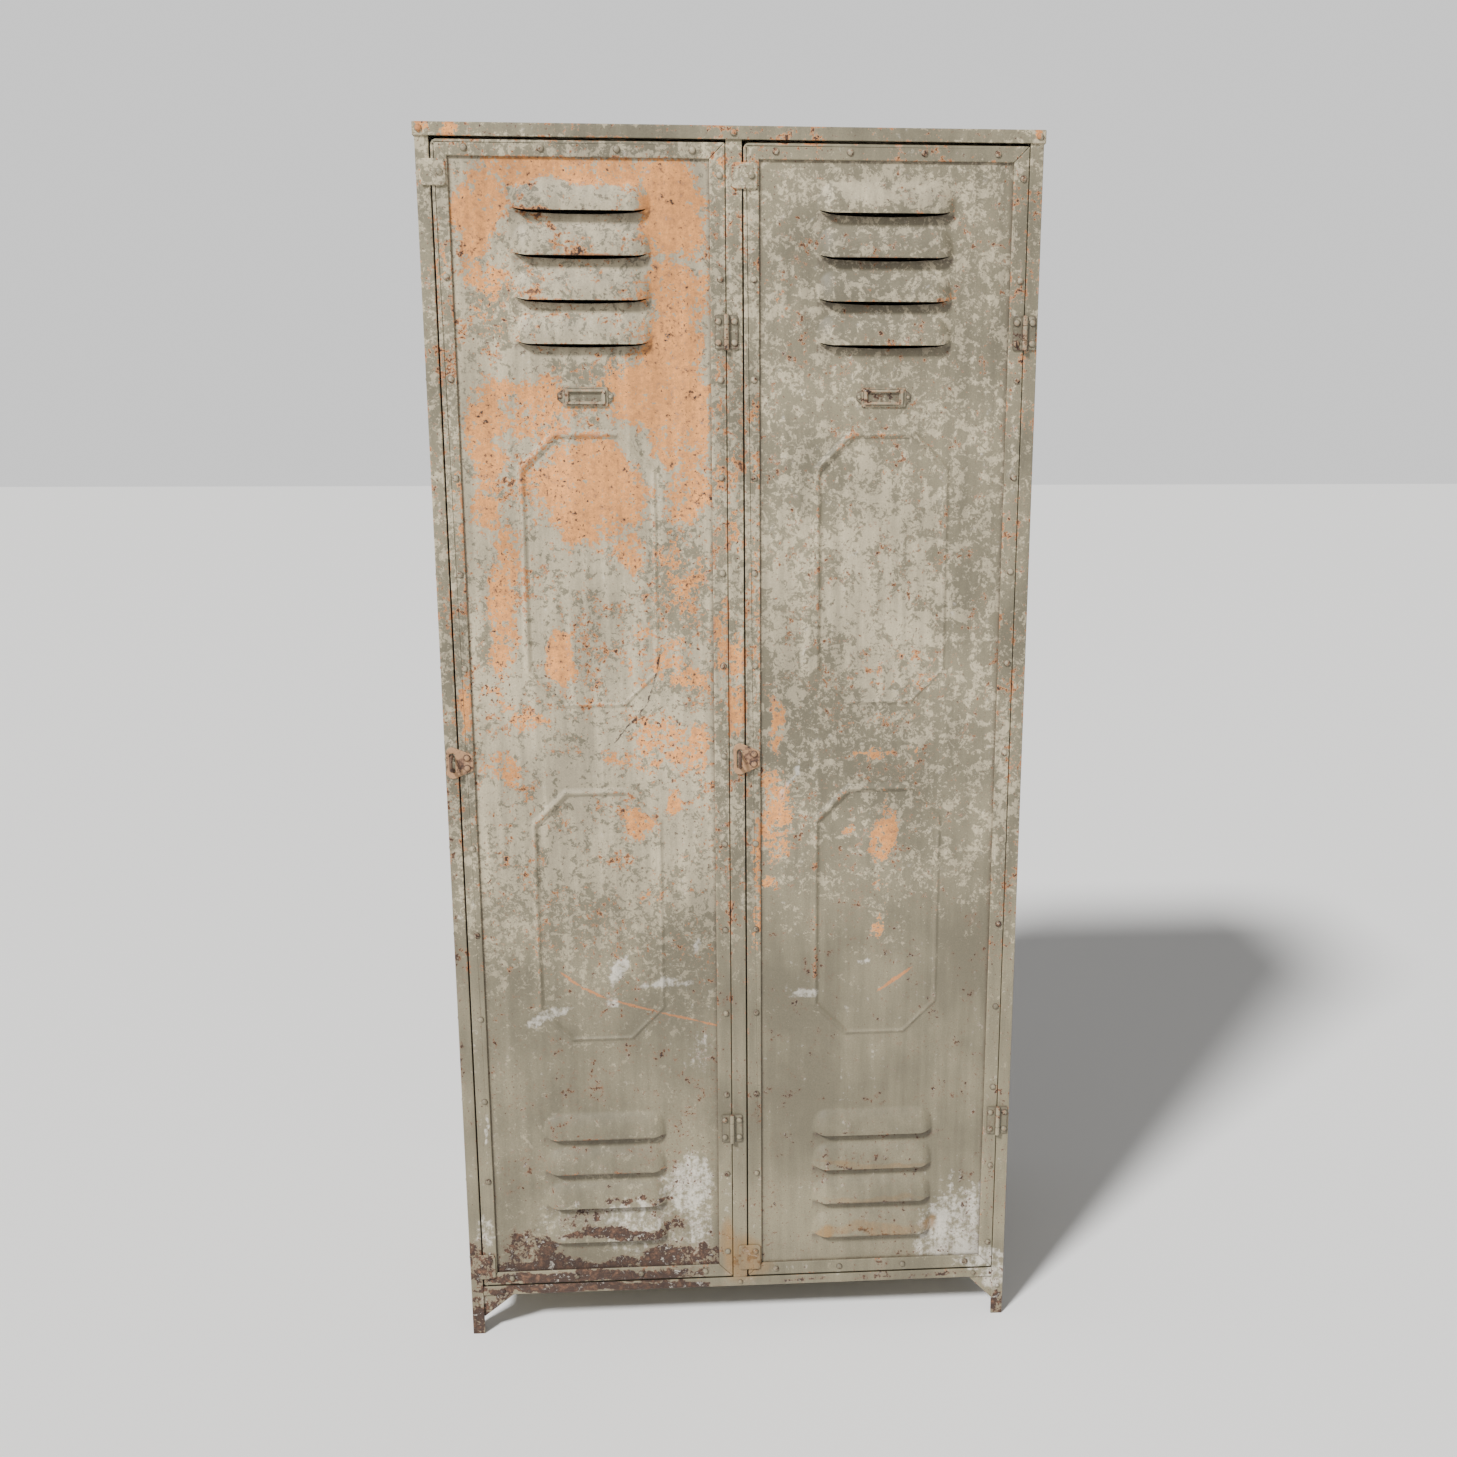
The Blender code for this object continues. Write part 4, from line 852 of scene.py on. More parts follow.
def door_sheet(door, sizes):
    """A sheet of fine faces, pressed into louvres, octagonal beads and a few dents."""
    banks = LOUVRE_TOP_LIPS[door.side]
    lips = [first - i * LOUVRE_PITCH for first in banks for i in range(LOUVRES_PER_BANK)]
    edge = (door.hinge - door.free) / 2 + SHEET_OUT
    low, high = door.low - SHEET_OUT, door.high + SHEET_OUT
    across = graded([
        (-edge, 6 * MM), (-edge + 13 * MM, 2.3 * MM), (-edge + 24 * MM, 7 * MM), (-100 * MM, 2.3 * MM),
        (-36 * MM, 7 * MM), (36 * MM, 2.3 * MM), (100 * MM, 7 * MM), (edge - 24 * MM, 2.3 * MM),
        (edge - 13 * MM, 6 * MM), (edge, 1),
    ])
    stops = [(low, 6 * MM), (low + 13 * MM, 2.3 * MM), (low + 24 * MM, 8 * MM), (high, 1)]
    stops += [(high - 24 * MM, 2.3 * MM), (high - 13 * MM, 6 * MM)]
    for lip in lips:
        stops += [(lip - 6 * MM, 2 * MM), (lip, 2.6 * MM), (lip + LOUVRE_TALL + 1 * MM, 5 * MM)]
    for bottom, top in BEAD_SPANS:
        stops += [(bottom - 8 * MM, 2.2 * MM), (bottom + BEAD_REACH, 8 * MM)]
        stops += [(top - BEAD_REACH, 2.2 * MM), (top + 8 * MM, 8 * MM)]
    stops += [(lips[LOUVRES_PER_BANK] + LOUVRE_TALL + 12 * MM, 8 * MM)]
    form = bmesh.new()
    face_y = out(SHEET_OUT)
    grid(form, across, graded(stops), lambda a, u: Vector((door.centre + a, face_y, u)))
    worn = layer_of(form, "wear")

    def on_lip(vert):
        return min(abs(vert.co.z - lip) for lip in lips) < 1e-5 and \
            abs(vert.co.x - door.centre) < LOUVRE_HALF + 1 * MM

    slits = [edge for edge in form.edges if all(on_lip(vert) for vert in edge.verts)]
    bmesh.ops.split_edges(form, edges=slits)
    dents = DENTS[door.side]
    for vert in form.verts:
        dx, z = vert.co.x - door.centre, vert.co.z
        edge_fade = min(1, (edge - abs(dx)) / (40 * MM))
        vert.co.y += dented(vert.co.x, z, dents, sizes.dent_depth) * max(0, edge_fade)
        lip = min(lips, key=lambda at: abs(z - at) if z < at else (z - at) * 0.3)
        if abs(dx) < LOUVRE_HALF + 8 * MM and -24 * MM < z - lip < LOUVRE_TALL:
            upper = abs(z - lip) < 1e-5 and all(f.calc_center_median().z > lip for f in vert.link_faces)
            press_louvre(vert, dx, z - lip, upper, sizes, worn)
        for bottom, top in BEAD_SPANS:
            rise = bead_rise(dx, z - (bottom + top) / 2, (top - bottom) / 2, sizes)
            if rise:
                vert.co.y -= rise
                vert[worn] = max(vert[worn], 0.7 * rise / sizes.bead_rise)
    seed_set(STRAY_SEED)  # so that the spots stray the same way each time
    for kind, spots in SHEET_SPOTS[door.side].items():
        layer = layer_of(form, kind)
        for vert in form.verts:
            stray = noise_vector(vert.co / (70 * MM)) * 16 * MM + noise_vector(vert.co / (22 * MM)) * 7 * MM
            vert[layer] = spots_at(vert.co + stray, spots)
    # Painted shade along the bars, painted shadow under the lips and dirt at the foot, kept on the sheet's
    # corners.
    dirt_and_shade = layer_of(form, "dirt_and_shade")
    for vert in form.verts:
        vert[dirt_and_shade] = shade_and_dirt_at(vert.co, door, edge, lips)
    thicken(form, SHEET)
    return form


def shade_and_dirt_at(place, door, edge, lips):
    """Painted shade lies along the frame's bars and painted shadow under the louvres' lips; dirt darkens the
    foot of a sheet.
    """
    seen = edge - DOOR_BAR - SHEET_OUT
    border = min(
        seen - abs(place.x - door.centre), place.z - door.low - DOOR_BAR, door.high - DOOR_BAR - place.z,
    )
    dirt_and_shade = max(0, 1 - abs(border) / SHADE_EDGE)
    for lip in lips:
        drop = lip - place.z
        if 0 <= drop < SHADE_LIP and abs(place.x - door.centre) < LOUVRE_HALF:
            dirt_and_shade = max(dirt_and_shade, 1 - drop / SHADE_LIP)
    return max(dirt_and_shade, 0.5 * max(0, 1 - (place.z - door.low) / DIRT_FOOT))


def mitred(door, side, wide, radius):
    """One bar of a door's frame from the front. The lock bar and the top bar share a round corner."""
    left, right, low, high = door.free, door.hinge, door.low, door.high
    step = GAP * 0.7
    turn = (left + radius, high - radius)

    def half_corner(start, end):
        inner = [(left + wide, high - wide)]
        if wide < radius:
            inner = list(arc(turn, radius - wide, start, end, 3))[::-1]
        return list(arc(turn, radius, start, end, 3)), inner

    if side == "lock":
        outer, inner = half_corner(135, 180)
        return outer + [(left, low + step), (left + wide, low + wide + step)] + inner
    if side == "top":
        outer, inner = half_corner(90, 135)
        return outer + inner + [(right - wide - step, high - wide), (right - step, high)]
    if side == "hinge":
        return [(right, high - step), (right - wide, high - wide - step), (right - wide, low + wide + step),
                (right, low + step)]
    return [(left + step, low), (right - step, low), (right - wide - step, low + wide),
            (left + wide + step, low + wide)]


def frame_bar(door, side, sizes):
    """An angle bar: a flange that shows in front, and a web behind its outer edge."""
    radius = sizes.corner_round

    def shared_mitre(edge):
        return all(abs(vert.co.x - door.free + vert.co.z - door.high) < 1e-5 for vert in edge.verts)

    form = bmesh.new()
    slab(form, "XZ", mitred(door, side, DOOR_BAR, radius), out(0), out(-BAR))
    slab(form, "XZ", mitred(door, side, BAR, radius), out(-0.8 * MM), out(-DOOR_BAR_DEPTH))
    soften(form, sizes.edge_round, shared_mitre)
    wear_edges(form)
    return form


def door_rivets(door, sizes):
    heights = [z for z in RIVET_HEIGHTS if min(abs(z - at) for at in (1737 * MM, 933 * MM, 129 * MM)) > MM]
    spots = [(door.free + LOCK_RIVET, out(0), z) for z in heights]
    spots += [(door.hinge - HINGE_RIVET, out(0), z) for z in RIVET_HEIGHTS]
    for z in (door.high - DOOR_BAR / 2, door.low + DOOR_BAR / 2):
        spots += [(door.centre + CROSS_PITCH * (i - 1.5), out(0), z) for i in range(4)]
    form = bmesh.new()
    rivet_domes(form, spots, sizes)
    return form


def wear_tops(form, level):
    """Mark what stands in front of a level as worn."""
    layer = layer_of(form, "wear")
    for vert in form.verts:
        vert[layer] = 1 if vert.co.y < level else vert[layer]


def shade_rims_behind(form, near):
    """Paint shade on the worn rims that lie behind a level, where a fitting meets what it stands on, and
    clear their wear.
    """
    wear, dirt_and_shade = layer_of(form, "wear"), layer_of(form, "dirt_and_shade")
    for vert in form.verts:
        if vert.co.y > near and vert[wear]:
            vert[dirt_and_shade] = 1
            vert[wear] = 0


class DoorSheets(bpy.types.Operator):
    """Make both doors' pressed sheets, with their louvres and octagonal beads"""
    bl_idname = "locker.door_sheets"
    bl_label = "Door Sheets"

    def execute(self, context):
        for side, door in DOORS.items():
            form = door_sheet(door, context.scene.locker_sizes)
            piece(side + "-door-sheet", form, finish_of(side.title() + " door enamel"), door.name,
                  [door.name + "_panel"], flat_shell=True)
        return {"FINISHED"}


class DoorFrames(bpy.types.Operator):
    """Make the doors' mitred angle bars and the rivets that hold the sheets"""
    bl_idname = "locker.door_frames"
    bl_label = "Door Frames"

    def execute(self, context):
        sizes = context.scene.locker_sizes
        for door in DOORS.values():
            for side in ("lock", "hinge", "top", "bottom"):
                piece(f"{door.side}-door-{side}-bar", frame_bar(door, side, sizes), finish_of("Bar enamel"),
                      door.name, [f"{door.name}_{side}_bar"])
            piece(door.side + "-door-rivets", door_rivets(door, sizes), finish_of("Rivet enamel"),
                  door.name)
        return {"FINISHED"}


# ---------------------------------------------------------------- fittings

def label_holder(door, sizes):
    """A pressed plate with pointed ears and a stepped rim round its window."""
    form = bmesh.new()
    cx, cz = door.centre, LABEL_HEIGHT
    corners = ((31, -13), (31, -10), (38.5, -4), (38.5, 4), (31, 10), (31, 13))
    right = [(cx + x * MM, cz + z * MM) for x, z in corners]
    left = [(cx - x * MM, cz + z * MM) for x, z in reversed(corners)]
    slab(form, "XZ", right + left, out(SHEET_OUT + 0.9 * MM), out(SHEET_OUT))

    def oblong(wide, tall, radius):
        half, rise = wide * MM / 2, tall * MM / 2
        return rounded((cx - half, cz - rise), (cx + half, cz + rise), radius * MM)

    for wide, tall, front, back, gap_wide, gap_tall in LABEL_STEPS:
        slab(form, "XZ", oblong(wide, tall, 2), out(SHEET_OUT + front * MM), out(SHEET_OUT + back * MM),
             oblong(gap_wide, gap_tall, 1))
    soften(form, 0.5 * MM)
    wear_edges(form, 1.5 * MM)
    # Painted shade on the rims at the back of the plate and its steps, round their feet and inside the
    # window.
    shade_rims_behind(form, out(SHEET_OUT + 1.7 * MM))
    spots = [(cx + sign * LABEL_EAR_HOLE, out(SHEET_OUT + 0.9 * MM), cz) for sign in (-1, 1)]
    rivet_domes(form, spots, sizes, size=0.6)
    return form


def hasp_plate(door, sizes):
    """A thick rounded plate, with a slot for the staple and two rivets over the door's bar."""
    free, high = door.free, HASP_HEIGHT
    corners = (  # middle of each round corner, its radius, and the arc it turns through
        (-9.5, 14.5, 9, 75, 180), (-9.5, -14.5, 9, 180, 285), (16, -9, 4, 285, 360), (16, 9, 4, 0, 75),
    )
    outline = [
        point for x, z, radius, start, end in corners
        for point in arc((free + x * MM, high + z * MM), radius * MM, start, end, 5)
    ]
    slot_x = free - SLOT_OFFSET
    slot = list(arc((slot_x, high + SLOT_STRAIGHT), SLOT_RADIUS, 0, 180, 11))
    slot += arc((slot_x, high - SLOT_STRAIGHT), SLOT_RADIUS, 180, 360, 11)
    form = plate("XZ", outline, out(GAP + PLATE), out(GAP), sizes.edge_round, 3 * MM, slot)
    across, rise = HASP_RIVETS
    spots = [(free + across, out(GAP + PLATE), z) for z in (high + rise, high - rise)]
    rivet_domes(form, spots, sizes, size=1.05)
    wear_tops(form, out(GAP + PLATE + 1 * MM))
    return form


def staple_ring(door):
    """Round wire swept through a half circle, with straight legs that run into the frame."""
    x, ring, wire = door.free - SLOT_OFFSET, STAPLE_RING, STAPLE_WIRE
    reach = FACE - CAD_BOX[0][1] - wire - ring
    form = bmesh.new()
    turn = Matrix.Translation((x, out(GAP), HASP_HEIGHT - ring)) @ FACINGS["front"]
    foot = bmesh.ops.create_circle(form, cap_ends=False, radius=wire, segments=20, matrix=turn)
    edges = list({edge for vert in foot["verts"] for edge in vert.link_edges})
    leg = bmesh.ops.extrude_edge_only(form, edges=edges)
    moved, edges = verts_of(leg), edges_of(leg)
    bmesh.ops.translate(form, verts=moved, vec=(0, GAP - reach, 0))
    ends = bmesh.ops.spin(
        form, geom=moved + edges, cent=(x, out(reach), HASP_HEIGHT), axis=(1, 0, 0), dvec=(0, 0, 0),
        angle=-math.pi, steps=20, use_merge=False, use_duplicate=False,
    )
    leg = bmesh.ops.extrude_edge_only(form, edges=edges_of(ends, "geom_last"))
    bmesh.ops.translate(form, verts=verts_of(leg), vec=(0, reach - GAP, 0))
    bmesh.ops.holes_fill(form, edges=form.edges)
    wear, dirt_and_shade = layer_of(form, "wear"), layer_of(form, "dirt_and_shade")
    for vert in form.verts:
        vert[wear] = min(0.4, max(0, (out(reach) - vert.co.y) / (30 * MM)))
        # The whole staple is darkened three quarters of the way to old rust.
        vert[dirt_and_shade] = 0.75
    return form


def stop_tab(door, place, sizes):
    low, high = TAB_SPANS[place]
    outline = rounded((door.free - TAB_OUTER, low), (door.free + TAB_INNER, high), 5 * MM)
    form = plate("XZ", outline, out(GAP + TAB_PLATE), out(GAP), sizes.edge_round, 3 * MM)
    height = RIVET_TOP if place == "top" else RIVET_HEIGHTS[-1]
    rivet_domes(form, [(door.free + 11 * MM, out(GAP + TAB_PLATE), height)], sizes)
    return form


def hinge_leaf(door, height, sense, sizes):
    """A leaf and its knuckles round the pin: sense is 1 for the frame's leaf and -1 for the door's."""
    axis = door.hinge + HINGE_SEAM
    x0, x1 = sorted((axis + sense * LEAF_START, axis + sense * LEAF_END))
    half, middle = HINGE_TALL / 2, MIDDLE_KNUCKLE / 2
    form = bmesh.new()
    outline = rounded((x0, height - half), (x1, height + half), 2.5 * MM)
    slab(form, "XZ", outline, out(GAP + PLATE), out(GAP))
    soften(form, 0.6 * MM)
    spans = [(-middle + GAP, middle - GAP)] if sense < 0 else [(-half, -middle - GAP), (middle + GAP, half)]
    for start, end in spans:
        matrix = Matrix.Translation((axis, out(AXIS_OUT), height + (start + end) / 2))
        made = bmesh.ops.create_cone(form, cap_ends=True, segments=32, radius1=KNUCKLE, radius2=KNUCKLE,
                                     depth=end - start, matrix=matrix)
        rims = [edge for edge in {e for vert in made["verts"] for e in vert.link_edges}
                if abs(edge.verts[0].co.z - edge.verts[1].co.z) < 1e-6]
        bmesh.ops.bevel(form, geom=rims, offset=0.6 * MM, segments=2, profile=0.5, affect="EDGES",
                        material=-1)
    wear_edges(form, 1.5 * MM)
    # Painted shade on the leaves' rims and the knuckles' sides and backs; only the knuckles' fronts stay
    # rubbed.
    shade_rims_behind(form, out(AXIS_OUT + 2.4 * MM))
    across, rise = LEAF_RIVETS
    spots = [(axis + sense * across, out(GAP + PLATE), z) for z in (height + rise, height - rise)]
    rivet_domes(form, spots, sizes)
    return form


def hinge_pin(door, height):
    form = bmesh.new()
    matrix = Matrix.Translation((door.hinge + HINGE_SEAM, out(AXIS_OUT), height))
    bmesh.ops.create_cone(form, cap_ends=True, segments=24, radius1=PIN, radius2=PIN,
                          depth=HINGE_TALL + 2 * MM, matrix=matrix)
    soften(form, 0.7 * MM)
    return form


class LabelHolders(bpy.types.Operator):
    """Make the doors' label holders"""
    bl_idname = "locker.label_holders"
    bl_label = "Label Holders"

    def execute(self, context):
        for side, door in DOORS.items():
            piece(side + "-label-holder", label_holder(door, context.scene.locker_sizes),
                  finish_of("Fitting enamel"), door.name, [door.name + "_label_holder"])
        return {"FINISHED"}


class HaspsAndStaples(bpy.types.Operator):
    """Make the slotted hasps on the doors and the staples on the frame"""
    bl_idname = "locker.hasps_and_staples"
    bl_label = "Hasps and Staples"

    def execute(self, context):
        forged = finish_of("Rusted forged steel")
        for side, door in DOORS.items():
            piece(side + "-hasp", hasp_plate(door, context.scene.locker_sizes), forged, door.name,
                  [door.name + "_hasp"])
            piece(side + "-staple-ring", staple_ring(door), forged, "carcass",
                  [side + "_staple"])
        return {"FINISHED"}


class StopTabs(bpy.types.Operator):
    """Make the stop tabs at the top and the bottom of the doors' free edges"""
    bl_idname = "locker.stop_tabs"
    bl_label = "Stop Tabs"

    def execute(self, context):
        for side, door in DOORS.items():
            for place in TAB_SPANS:
                piece(f"{side}-{place}-tab", stop_tab(door, place, context.scene.locker_sizes),
                      finish_of("Bar enamel"), door.name,
                      [f"{door.name}_{place}_stop_tab"])
        return {"FINISHED"}


class Hinges(bpy.types.Operator):
    """Make the hinges' leaves, knuckles and pins"""
    bl_idname = "locker.hinges"
    bl_label = "Hinges"

    def execute(self, context):
        sizes, paint = context.scene.locker_sizes, finish_of("Fitting enamel")
        for side, door in DOORS.items():
            for place, height in HINGE_HEIGHTS.items():
                name, node = f"{side}-{place}-hinge", f"{side}_{place}_hinge"
                piece(name + "-frame-leaf", hinge_leaf(door, height, 1, sizes), paint, "carcass",
                      [node + "_frame_leaf"])
                piece(name + "-door-leaf", hinge_leaf(door, height, -1, sizes), paint, door.name,
                      [node + "_door_leaf"])
                piece(name + "-pin-rod", hinge_pin(door, height), finish_of("Rusted forged steel"),
                      "carcass", [node + "_pin"])
        return {"FINISHED"}


# ---------------------------------------------------------------- carcass

SIDE_BULGES = ((0, 420, 130, 260, 1), (20, 1080, 120, 240, 0.8), (-10, 1600, 110, 120, 0.6))
WALLS = (  # piece, node, the way it faces, its bulges as x or y, z, radii and part, and their depth in mm
    ("left-wall", "left_side_panel", "left", SIDE_BULGES, 2),
    ("right-wall", "right_side_panel", "right", SIDE_BULGES, 2),
    ("back-wall", "back_panel", "rear", ((-200, 900, 110, 420, 1), (200, 760, 110, 420, 0.9)), 2),
    ("middle-wall", "centre_partition", "right", ((0, 900, 120, 400, 1),), 0.8),
)


def angle_plan(edge, wide, deep, face, inwards):
    """An L in plan. wide and inwards are signed: towards -X, or towards the front, they are negative."""
    step = math.copysign(BAR, wide)
    thick, back = face + inwards * BAR, face + inwards * deep
    return [(edge, face), (edge + wide, face), (edge + wide, thick), (edge + step, thick),
            (edge + step, back), (edge, back)]


def post(row, sign, sizes):
    face, inwards = (FACE, 1) if row == "front" else (REAR, -1)
    plan = angle_plan(sign * HALF, -sign * POST_FRONT, POST_SIDE, face, inwards)
    form = plate("XY", plan, 0, POST_TOP, sizes.edge_round)
    side_y = face + inwards * (POST_SIDE - POST_RIVET)
    side_spots = [(sign * HALF, side_y, z) for z in RIVET_HEIGHTS]
    rivet_domes(form, side_spots, sizes, "right" if sign > 0 else "left", 0.75)
    heights = [LEG_RIVET] + (RIVET_HEIGHTS if row == "rear" else [])
    rivet_domes(form, [(sign * (HALF - POST_RIVET), face, z) for z in heights], sizes, row, 0.75)
    return form


def stile(sizes):
    """A T bar: its web stands behind the middle of the flange."""
    half, web = STILE_HALF, BAR / 2
    plan = [(-half, out(0)), (half, out(0)), (half, out(-BAR)), (web, out(-BAR)), (web, out(-STILE_WEB)),
            (-web, out(-STILE_WEB)), (-web, out(-BAR)), (-half, out(-BAR))]
    return plate("XY", plan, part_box("centre_stile")[0].z, POST_TOP, sizes.edge_round)


def top_band(sizes):
    """Flat bar bent round the posts' tops, with rivets in front."""
    low, high = BAND_BOX
    front, rear = FACE - BAND_PROUD, REAR + BAND_PROUD
    wall, edge = BAND_WALL, high.x
    outline = rounded((-edge, front), (edge, rear), 3 * MM)
    hole = rounded((wall - edge, front + wall), (edge - wall, rear - wall), 1 * MM)
    form = plate("XY", outline, low.z, high.z, sizes.edge_round, hole=hole)
    spots = [(x, front, (low.z + high.z) / 2) for x in (BAND_RIVET - edge, 0, edge - BAND_RIVET)]
    rivet_domes(form, spots, sizes)
    return form


def wall_sheet(low, high, facing, bulges, depth):
    """A thin sheet with the soft bulges that riveting gives it. low and high span it flat."""
    places = {
        "left": lambda a, u: Vector((low[0], -a, u)), "right": lambda a, u: Vector((high[0], a, u)),
        "rear": lambda a, u: Vector((-a, high[1], u)), "up": lambda a, u: Vector((a, u, high[2])),
    }
    spans = {
        "left": (-high[1], -low[1], low[2], high[2]), "right": (low[1], high[1], low[2], high[2]),
        "rear": (-high[0], -low[0], low[2], high[2]), "up": (low[0], high[0], low[1], high[1]),
    }
    normals = {"left": (-1, 0, 0), "right": (1, 0, 0), "rear": (0, 1, 0), "up": (0, 0, -1)}
    a0, a1, u0, u1 = spans[facing]
    form = bmesh.new()
    grid(form, graded([(a0, 20 * MM), (a1, 1)]), graded([(u0, 20 * MM), (u1, 1)]), places[facing])
    for vert in form.verts:
        a, u = (vert.co.y, vert.co.z) if facing in ("left", "right") else (vert.co.x, vert.co.z)
        if facing == "up":
            a, u = vert.co.x, vert.co.y
        vert.co += Vector(normals[facing]) * dented(a, u, bulges, depth)
    return form


class PostsAndStile(bpy.types.Operator):
    """Make the four riveted corner posts and the bar between the doors"""
    bl_idname = "locker.posts"
    bl_label = "Posts and Stile"

    def execute(self, context):
        sizes = context.scene.locker_sizes
        for row in ("front", "rear"):
            for side, sign in SIGNS.items():
                piece(f"{row}-{side}-angle", post(row, sign, sizes), finish_of("Bar enamel"), "carcass",
                      [f"{row}_{side}_post"])
        piece("middle-stile", stile(sizes), finish_of("Bar enamel"), "carcass",
              ["centre_stile"])
        return {"FINISHED"}


class TopBand(bpy.types.Operator):
    """Make the band round the top and the top sheet inside it"""
    bl_idname = "locker.top_band"
    bl_label = "Top Band and Sheet"

    def execute(self, context):
        piece("band-round-top", top_band(context.scene.locker_sizes), finish_of("Bar enamel"), "carcass",
              ["top_band"])
        low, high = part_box("top_panel")
        hollows = ((-215, 0, 110, 120, 1), (215, 20, 110, 110, 0.7))
        form = wall_sheet(low, high, "up", hollows, 3 * MM)
        thicken(form, high.z - low.z)
        piece("top-sheet", form, finish_of("Inner enamel"), "carcass", ["top_panel"],
              flat_shell=True)
        return {"FINISHED"}


class WallSheets(bpy.types.Operator):
    """Make the side sheets, the back sheet and the partition"""
    bl_idname = "locker.wall_sheets"
    bl_label = "Wall Sheets"

    def execute(self, context):
        for name, node, facing, bulges, depth in WALLS:
            low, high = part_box(node)
            form = wall_sheet(low, high, facing, bulges, depth * MM)
            thicken(form, SHEET)
            piece(name, form, finish_of("Inner enamel"), "carcass", [node], flat_shell=True)
        return {"FINISHED"}


class RailsAndGussets(bpy.types.Operator):
    """Make the bottom rails and the corner plates at the feet"""
    bl_idname = "locker.rails"
    bl_label = "Bottom Rails and Gussets"

    def execute(self, context):
        sizes = context.scene.locker_sizes
        for row, face, sense in (("front", FACE, 1), ("rear", REAR, -1)):
            low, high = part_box(row + "_bottom_rail")
            ends = sorted((face, face + sense * BAR))
            form = bmesh.new()
            block(form, (low.x, ends[0], low.z), (high.x, ends[1], high.z))
            soften(form, sizes.edge_round)
            wear_edges(form)
            spots = [(x, face, (low.z + high.z) / 2) for x in (RAIL_RIVET - HALF, 0, HALF - RAIL_RIVET)]
            rivet_domes(form, spots, sizes, row, 0.85)
            piece(row + "-sill", form, finish_of("Bar enamel"), "carcass",
                  [row + "_bottom_rail"])
            for side, sign in SIGNS.items():
                self.gusset(row, side, sign, low.z)
        return {"FINISHED"}

    def gusset(self, row, side, sign, rail_low):
        low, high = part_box(f"{row}_{side}_gusset")
        wide = max(abs(low.x), abs(high.x))
        tip = min(abs(low.x), abs(high.x))
        corners = ((wide, low.z), (HALF - POST_FRONT, low.z), (tip, rail_low), (tip, high.z), (wide, high.z))
        form = plate("XZ", [(sign * x, z) for x, z in corners], low.y, high.y, 0.6 * MM)
        piece(f"{row}-{side}-corner-plate", form, finish_of("Bar enamel"), "carcass",
              [f"{row}_{side}_gusset"])


class TraysAndRods(bpy.types.Operator):
    """Make the floor, the hat shelves, and the clothes rods with their sockets"""
    bl_idname = "locker.trays"
    bl_label = "Floor, Shelves and Clothes Rods"

    def execute(self, context):
        for node in ("floor_tray", "left_hat_shelf", "right_hat_shelf"):
            low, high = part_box(node)
            form = bmesh.new()
            block(form, low, high)
            under = [face for face in form.faces if face.normal.z < -0.5]
            bmesh.ops.delete(form, geom=under, context="FACES_ONLY")
            soften(form, TRAY_FOLD)
            thicken(form, SHEET)
            piece(node.replace("_", "-") + "-sheet", form, finish_of("Inner enamel"), "carcass",
                  [node], flat_shell=True)
        tube = finish_of("Drawn steel tube")
        for side in SIGNS:
            self.rod(side, tube)
            for place in ("outer", "inner"):
                self.socket(f"{side}_rail_{place}_socket", tube)
        return {"FINISHED"}

    def rod(self, side, tube):
        low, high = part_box(side + "_clothes_rail")
        form = bmesh.new()
        turn = Matrix.Translation((low + high) / 2) @ Matrix.Rotation(math.pi / 2, 4, "Y")
        bmesh.ops.create_cone(form, cap_ends=True, segments=40, radius1=ROD, radius2=ROD,
                              depth=high.x - low.x, matrix=turn)
        soften(form, 0.6 * MM)
        piece(side + "-clothes-rod", form, tube, "carcass", [side + "_clothes_rail"])

    def socket(self, node, tube):
        low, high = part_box(node)
        middle = ((low.y + high.y) / 2, (low.z + high.z) / 2)
        form = bmesh.new()
        rim, bore = (list(arc(middle, radius, 0, 354, 59)) for radius in (CUP, CUP_BORE))
        slab(form, "YZ", rim, low.x, high.x, bore)
        soften(form, 1 * MM)
        piece(node.replace("_", "-") + "-cup", form, tube, "carcass", [node])


# ---------------------------------------------------------------- stage

def area_light(name, place, towards, size, watts):
    light = bpy.data.lights.new(name, "AREA")
    light.shape = "RECTANGLE"
    light.size, light.size_y = size
    light.energy = watts
    made = bpy.data.objects.new(name, light)
    made.location = place
    made.rotation_euler = (Vector(towards) - Vector(place)).to_track_quat("-Z", "Y").to_euler()
    bpy.context.scene.collection.objects.link(made)


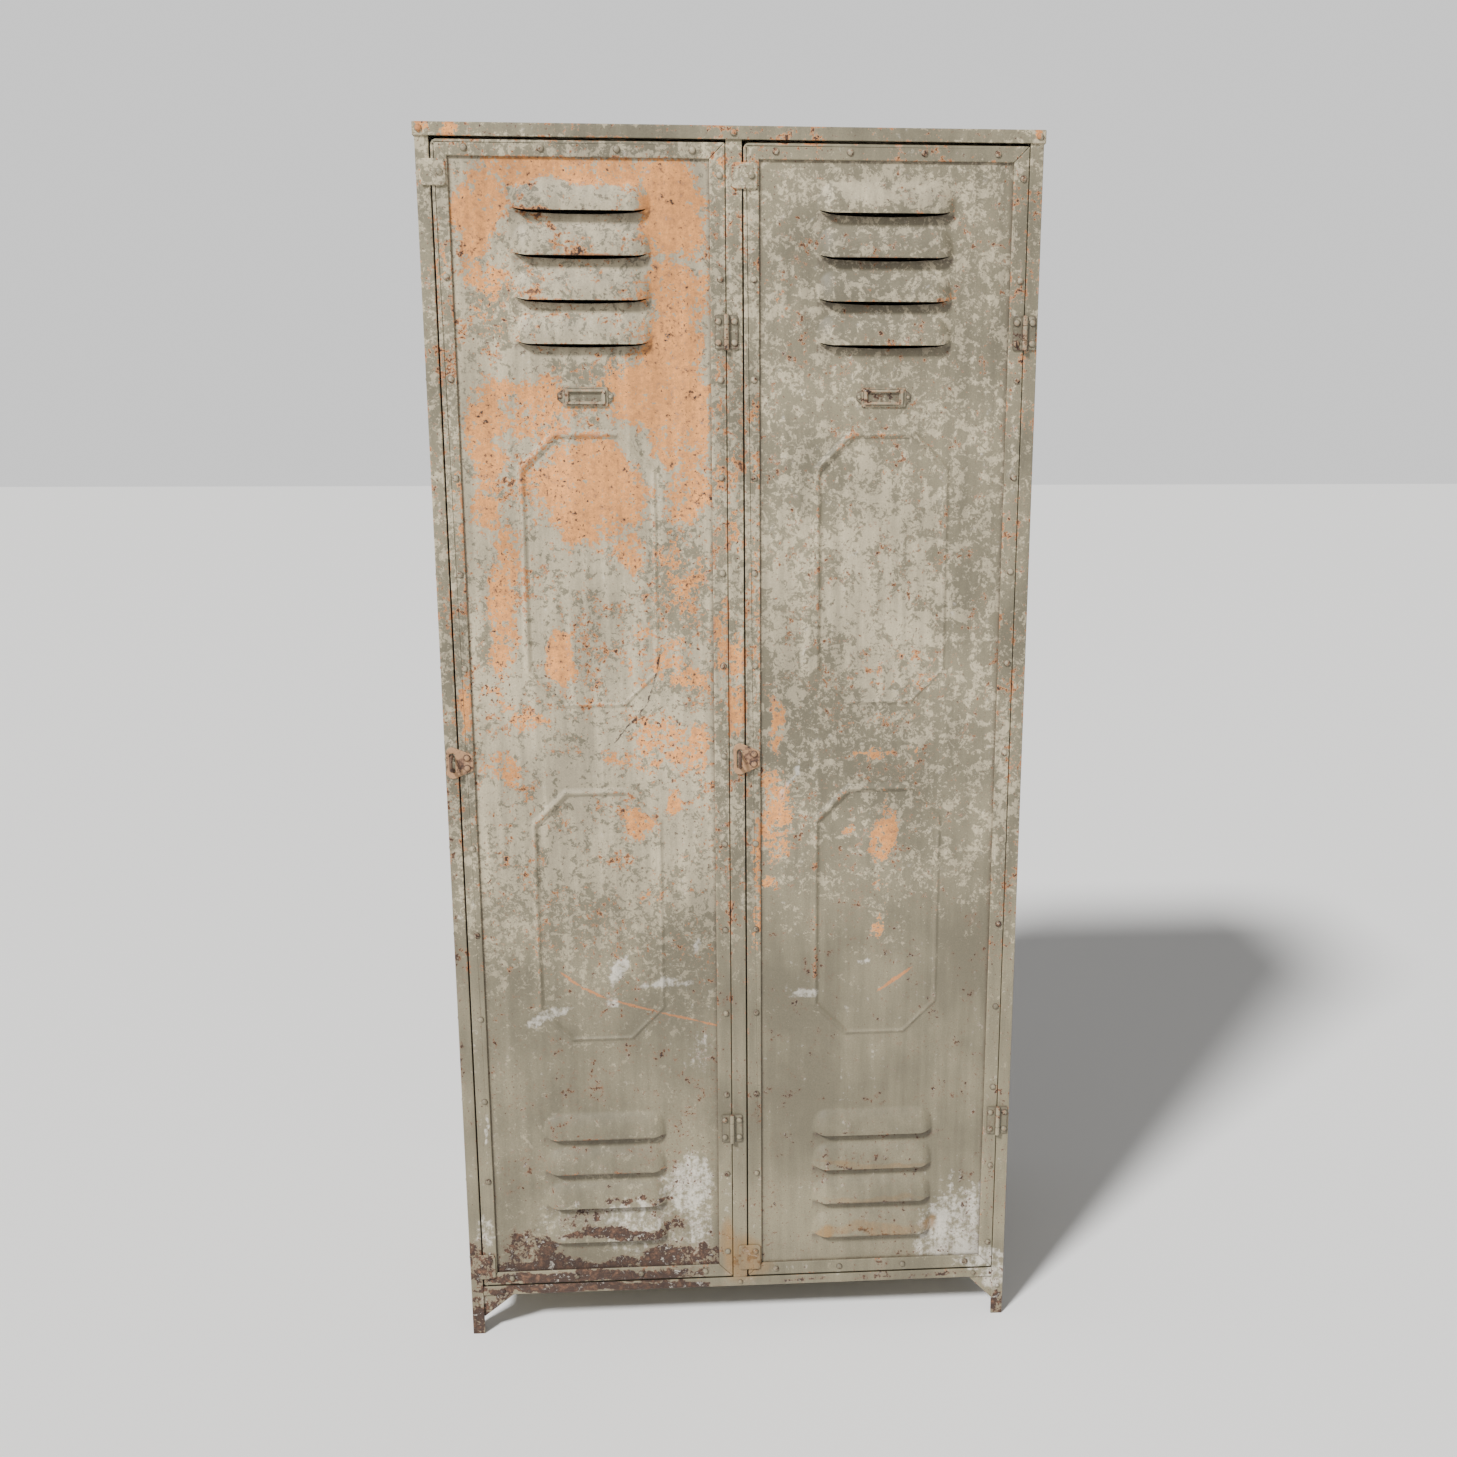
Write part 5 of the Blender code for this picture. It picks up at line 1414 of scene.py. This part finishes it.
class Stage(bpy.types.Operator):
    """Lay the floor, hang the lights and set the camera"""
    bl_idname = "locker.stage"
    bl_label = "Stage"

    def execute(self, context):
        form = bmesh.new()
        bmesh.ops.create_grid(form, x_segments=1, y_segments=1, size=30)
        mesh = bpy.data.meshes.new("studio-floor")
        form.to_mesh(mesh)
        form.free()
        material, tree = start_material("Studio floor")
        shader = add(tree, "BsdfPrincipled", {"Base Color": opaque(context.scene.locker_colours.floor),
                                              "Roughness": 0.9})
        add(tree, "OutputMaterial", {"Surface": shader})
        mesh.materials.append(material)
        floor = bpy.data.objects.new("studio-floor", mesh)
        context.scene.collection.objects.link(floor)

        world = bpy.data.worlds.new("Studio")
        world.use_nodes = True
        seen = add(world.node_tree, "LightPath").outputs["Is Camera Ray"]
        strength = add(world.node_tree, "Math", {0: seen, 1: 0.72, 2: 0.28}, operation="MULTIPLY_ADD")
        background = world.node_tree.nodes["Background"]
        background.inputs["Color"].default_value = (1, 1, 1, 1)
        world.node_tree.links.new(strength.outputs[0], background.inputs["Strength"])
        context.scene.world = world
        key = bpy.data.lights.new("Key", "SUN")
        key.energy, key.angle = 5.6, math.radians(9)
        made = bpy.data.objects.new("Key", key)
        made.rotation_euler = Vector((0.50, 0.56, -0.73)).to_track_quat("-Z", "Y").to_euler()
        context.scene.collection.objects.link(made)
        area_light("Fill", (1.6, -3.2, 2.2), (0, 0, 0.9), (2.4, 2.4), 12)

        camera = bpy.data.cameras.new("Camera")
        camera.sensor_width, camera.lens = 36, 34.59
        camera.shift_x, camera.shift_y = -0.0369, -0.0098
        made = bpy.data.objects.new("Camera", camera)
        made.location = (-0.064, -2.233, 1.412)
        made.rotation_euler = [math.radians(turn) for turn in (78.21, -0.04, -3.72)]
        context.scene.collection.objects.link(made)
        context.scene.camera = made
        return {"FINISHED"}


STEPS = (
    DoorSheets, DoorFrames, LabelHolders, HaspsAndStaples, StopTabs, Hinges, PostsAndStile, TopBand,
    WallSheets, RailsAndGussets, TraysAndRods, Stage,
)


class LockerPanel(bpy.types.Panel):
    """The locker's pieces, and the sizes and colours they are made from"""
    bl_idname = "VIEW3D_PT_locker"
    bl_label = "Riveted Locker"
    bl_space_type = "VIEW_3D"
    bl_region_type = "UI"
    bl_category = "Locker"

    def draw(self, context):
        for step in STEPS:
            self.layout.operator(step.bl_idname)
        for group in (context.scene.locker_sizes, context.scene.locker_colours):
            box = self.layout.box()
            for name in group.__annotations__:
                box.prop(group, name)


CLASSES = (LockerSizes, LockerColours, *STEPS, LockerPanel)


def register():
    for entry in CLASSES:
        bpy.utils.register_class(entry)
    bpy.types.Scene.locker_sizes = PointerProperty(type=LockerSizes)
    bpy.types.Scene.locker_colours = PointerProperty(type=LockerColours)


def unregister():
    del bpy.types.Scene.locker_sizes
    del bpy.types.Scene.locker_colours
    for entry in reversed(CLASSES):
        bpy.utils.unregister_class(entry)


def main():
    register()
    for step in STEPS:
        family, name = step.bl_idname.split(".")
        getattr(getattr(bpy.ops, family), name)()


if __name__ == "__main__":
    main()
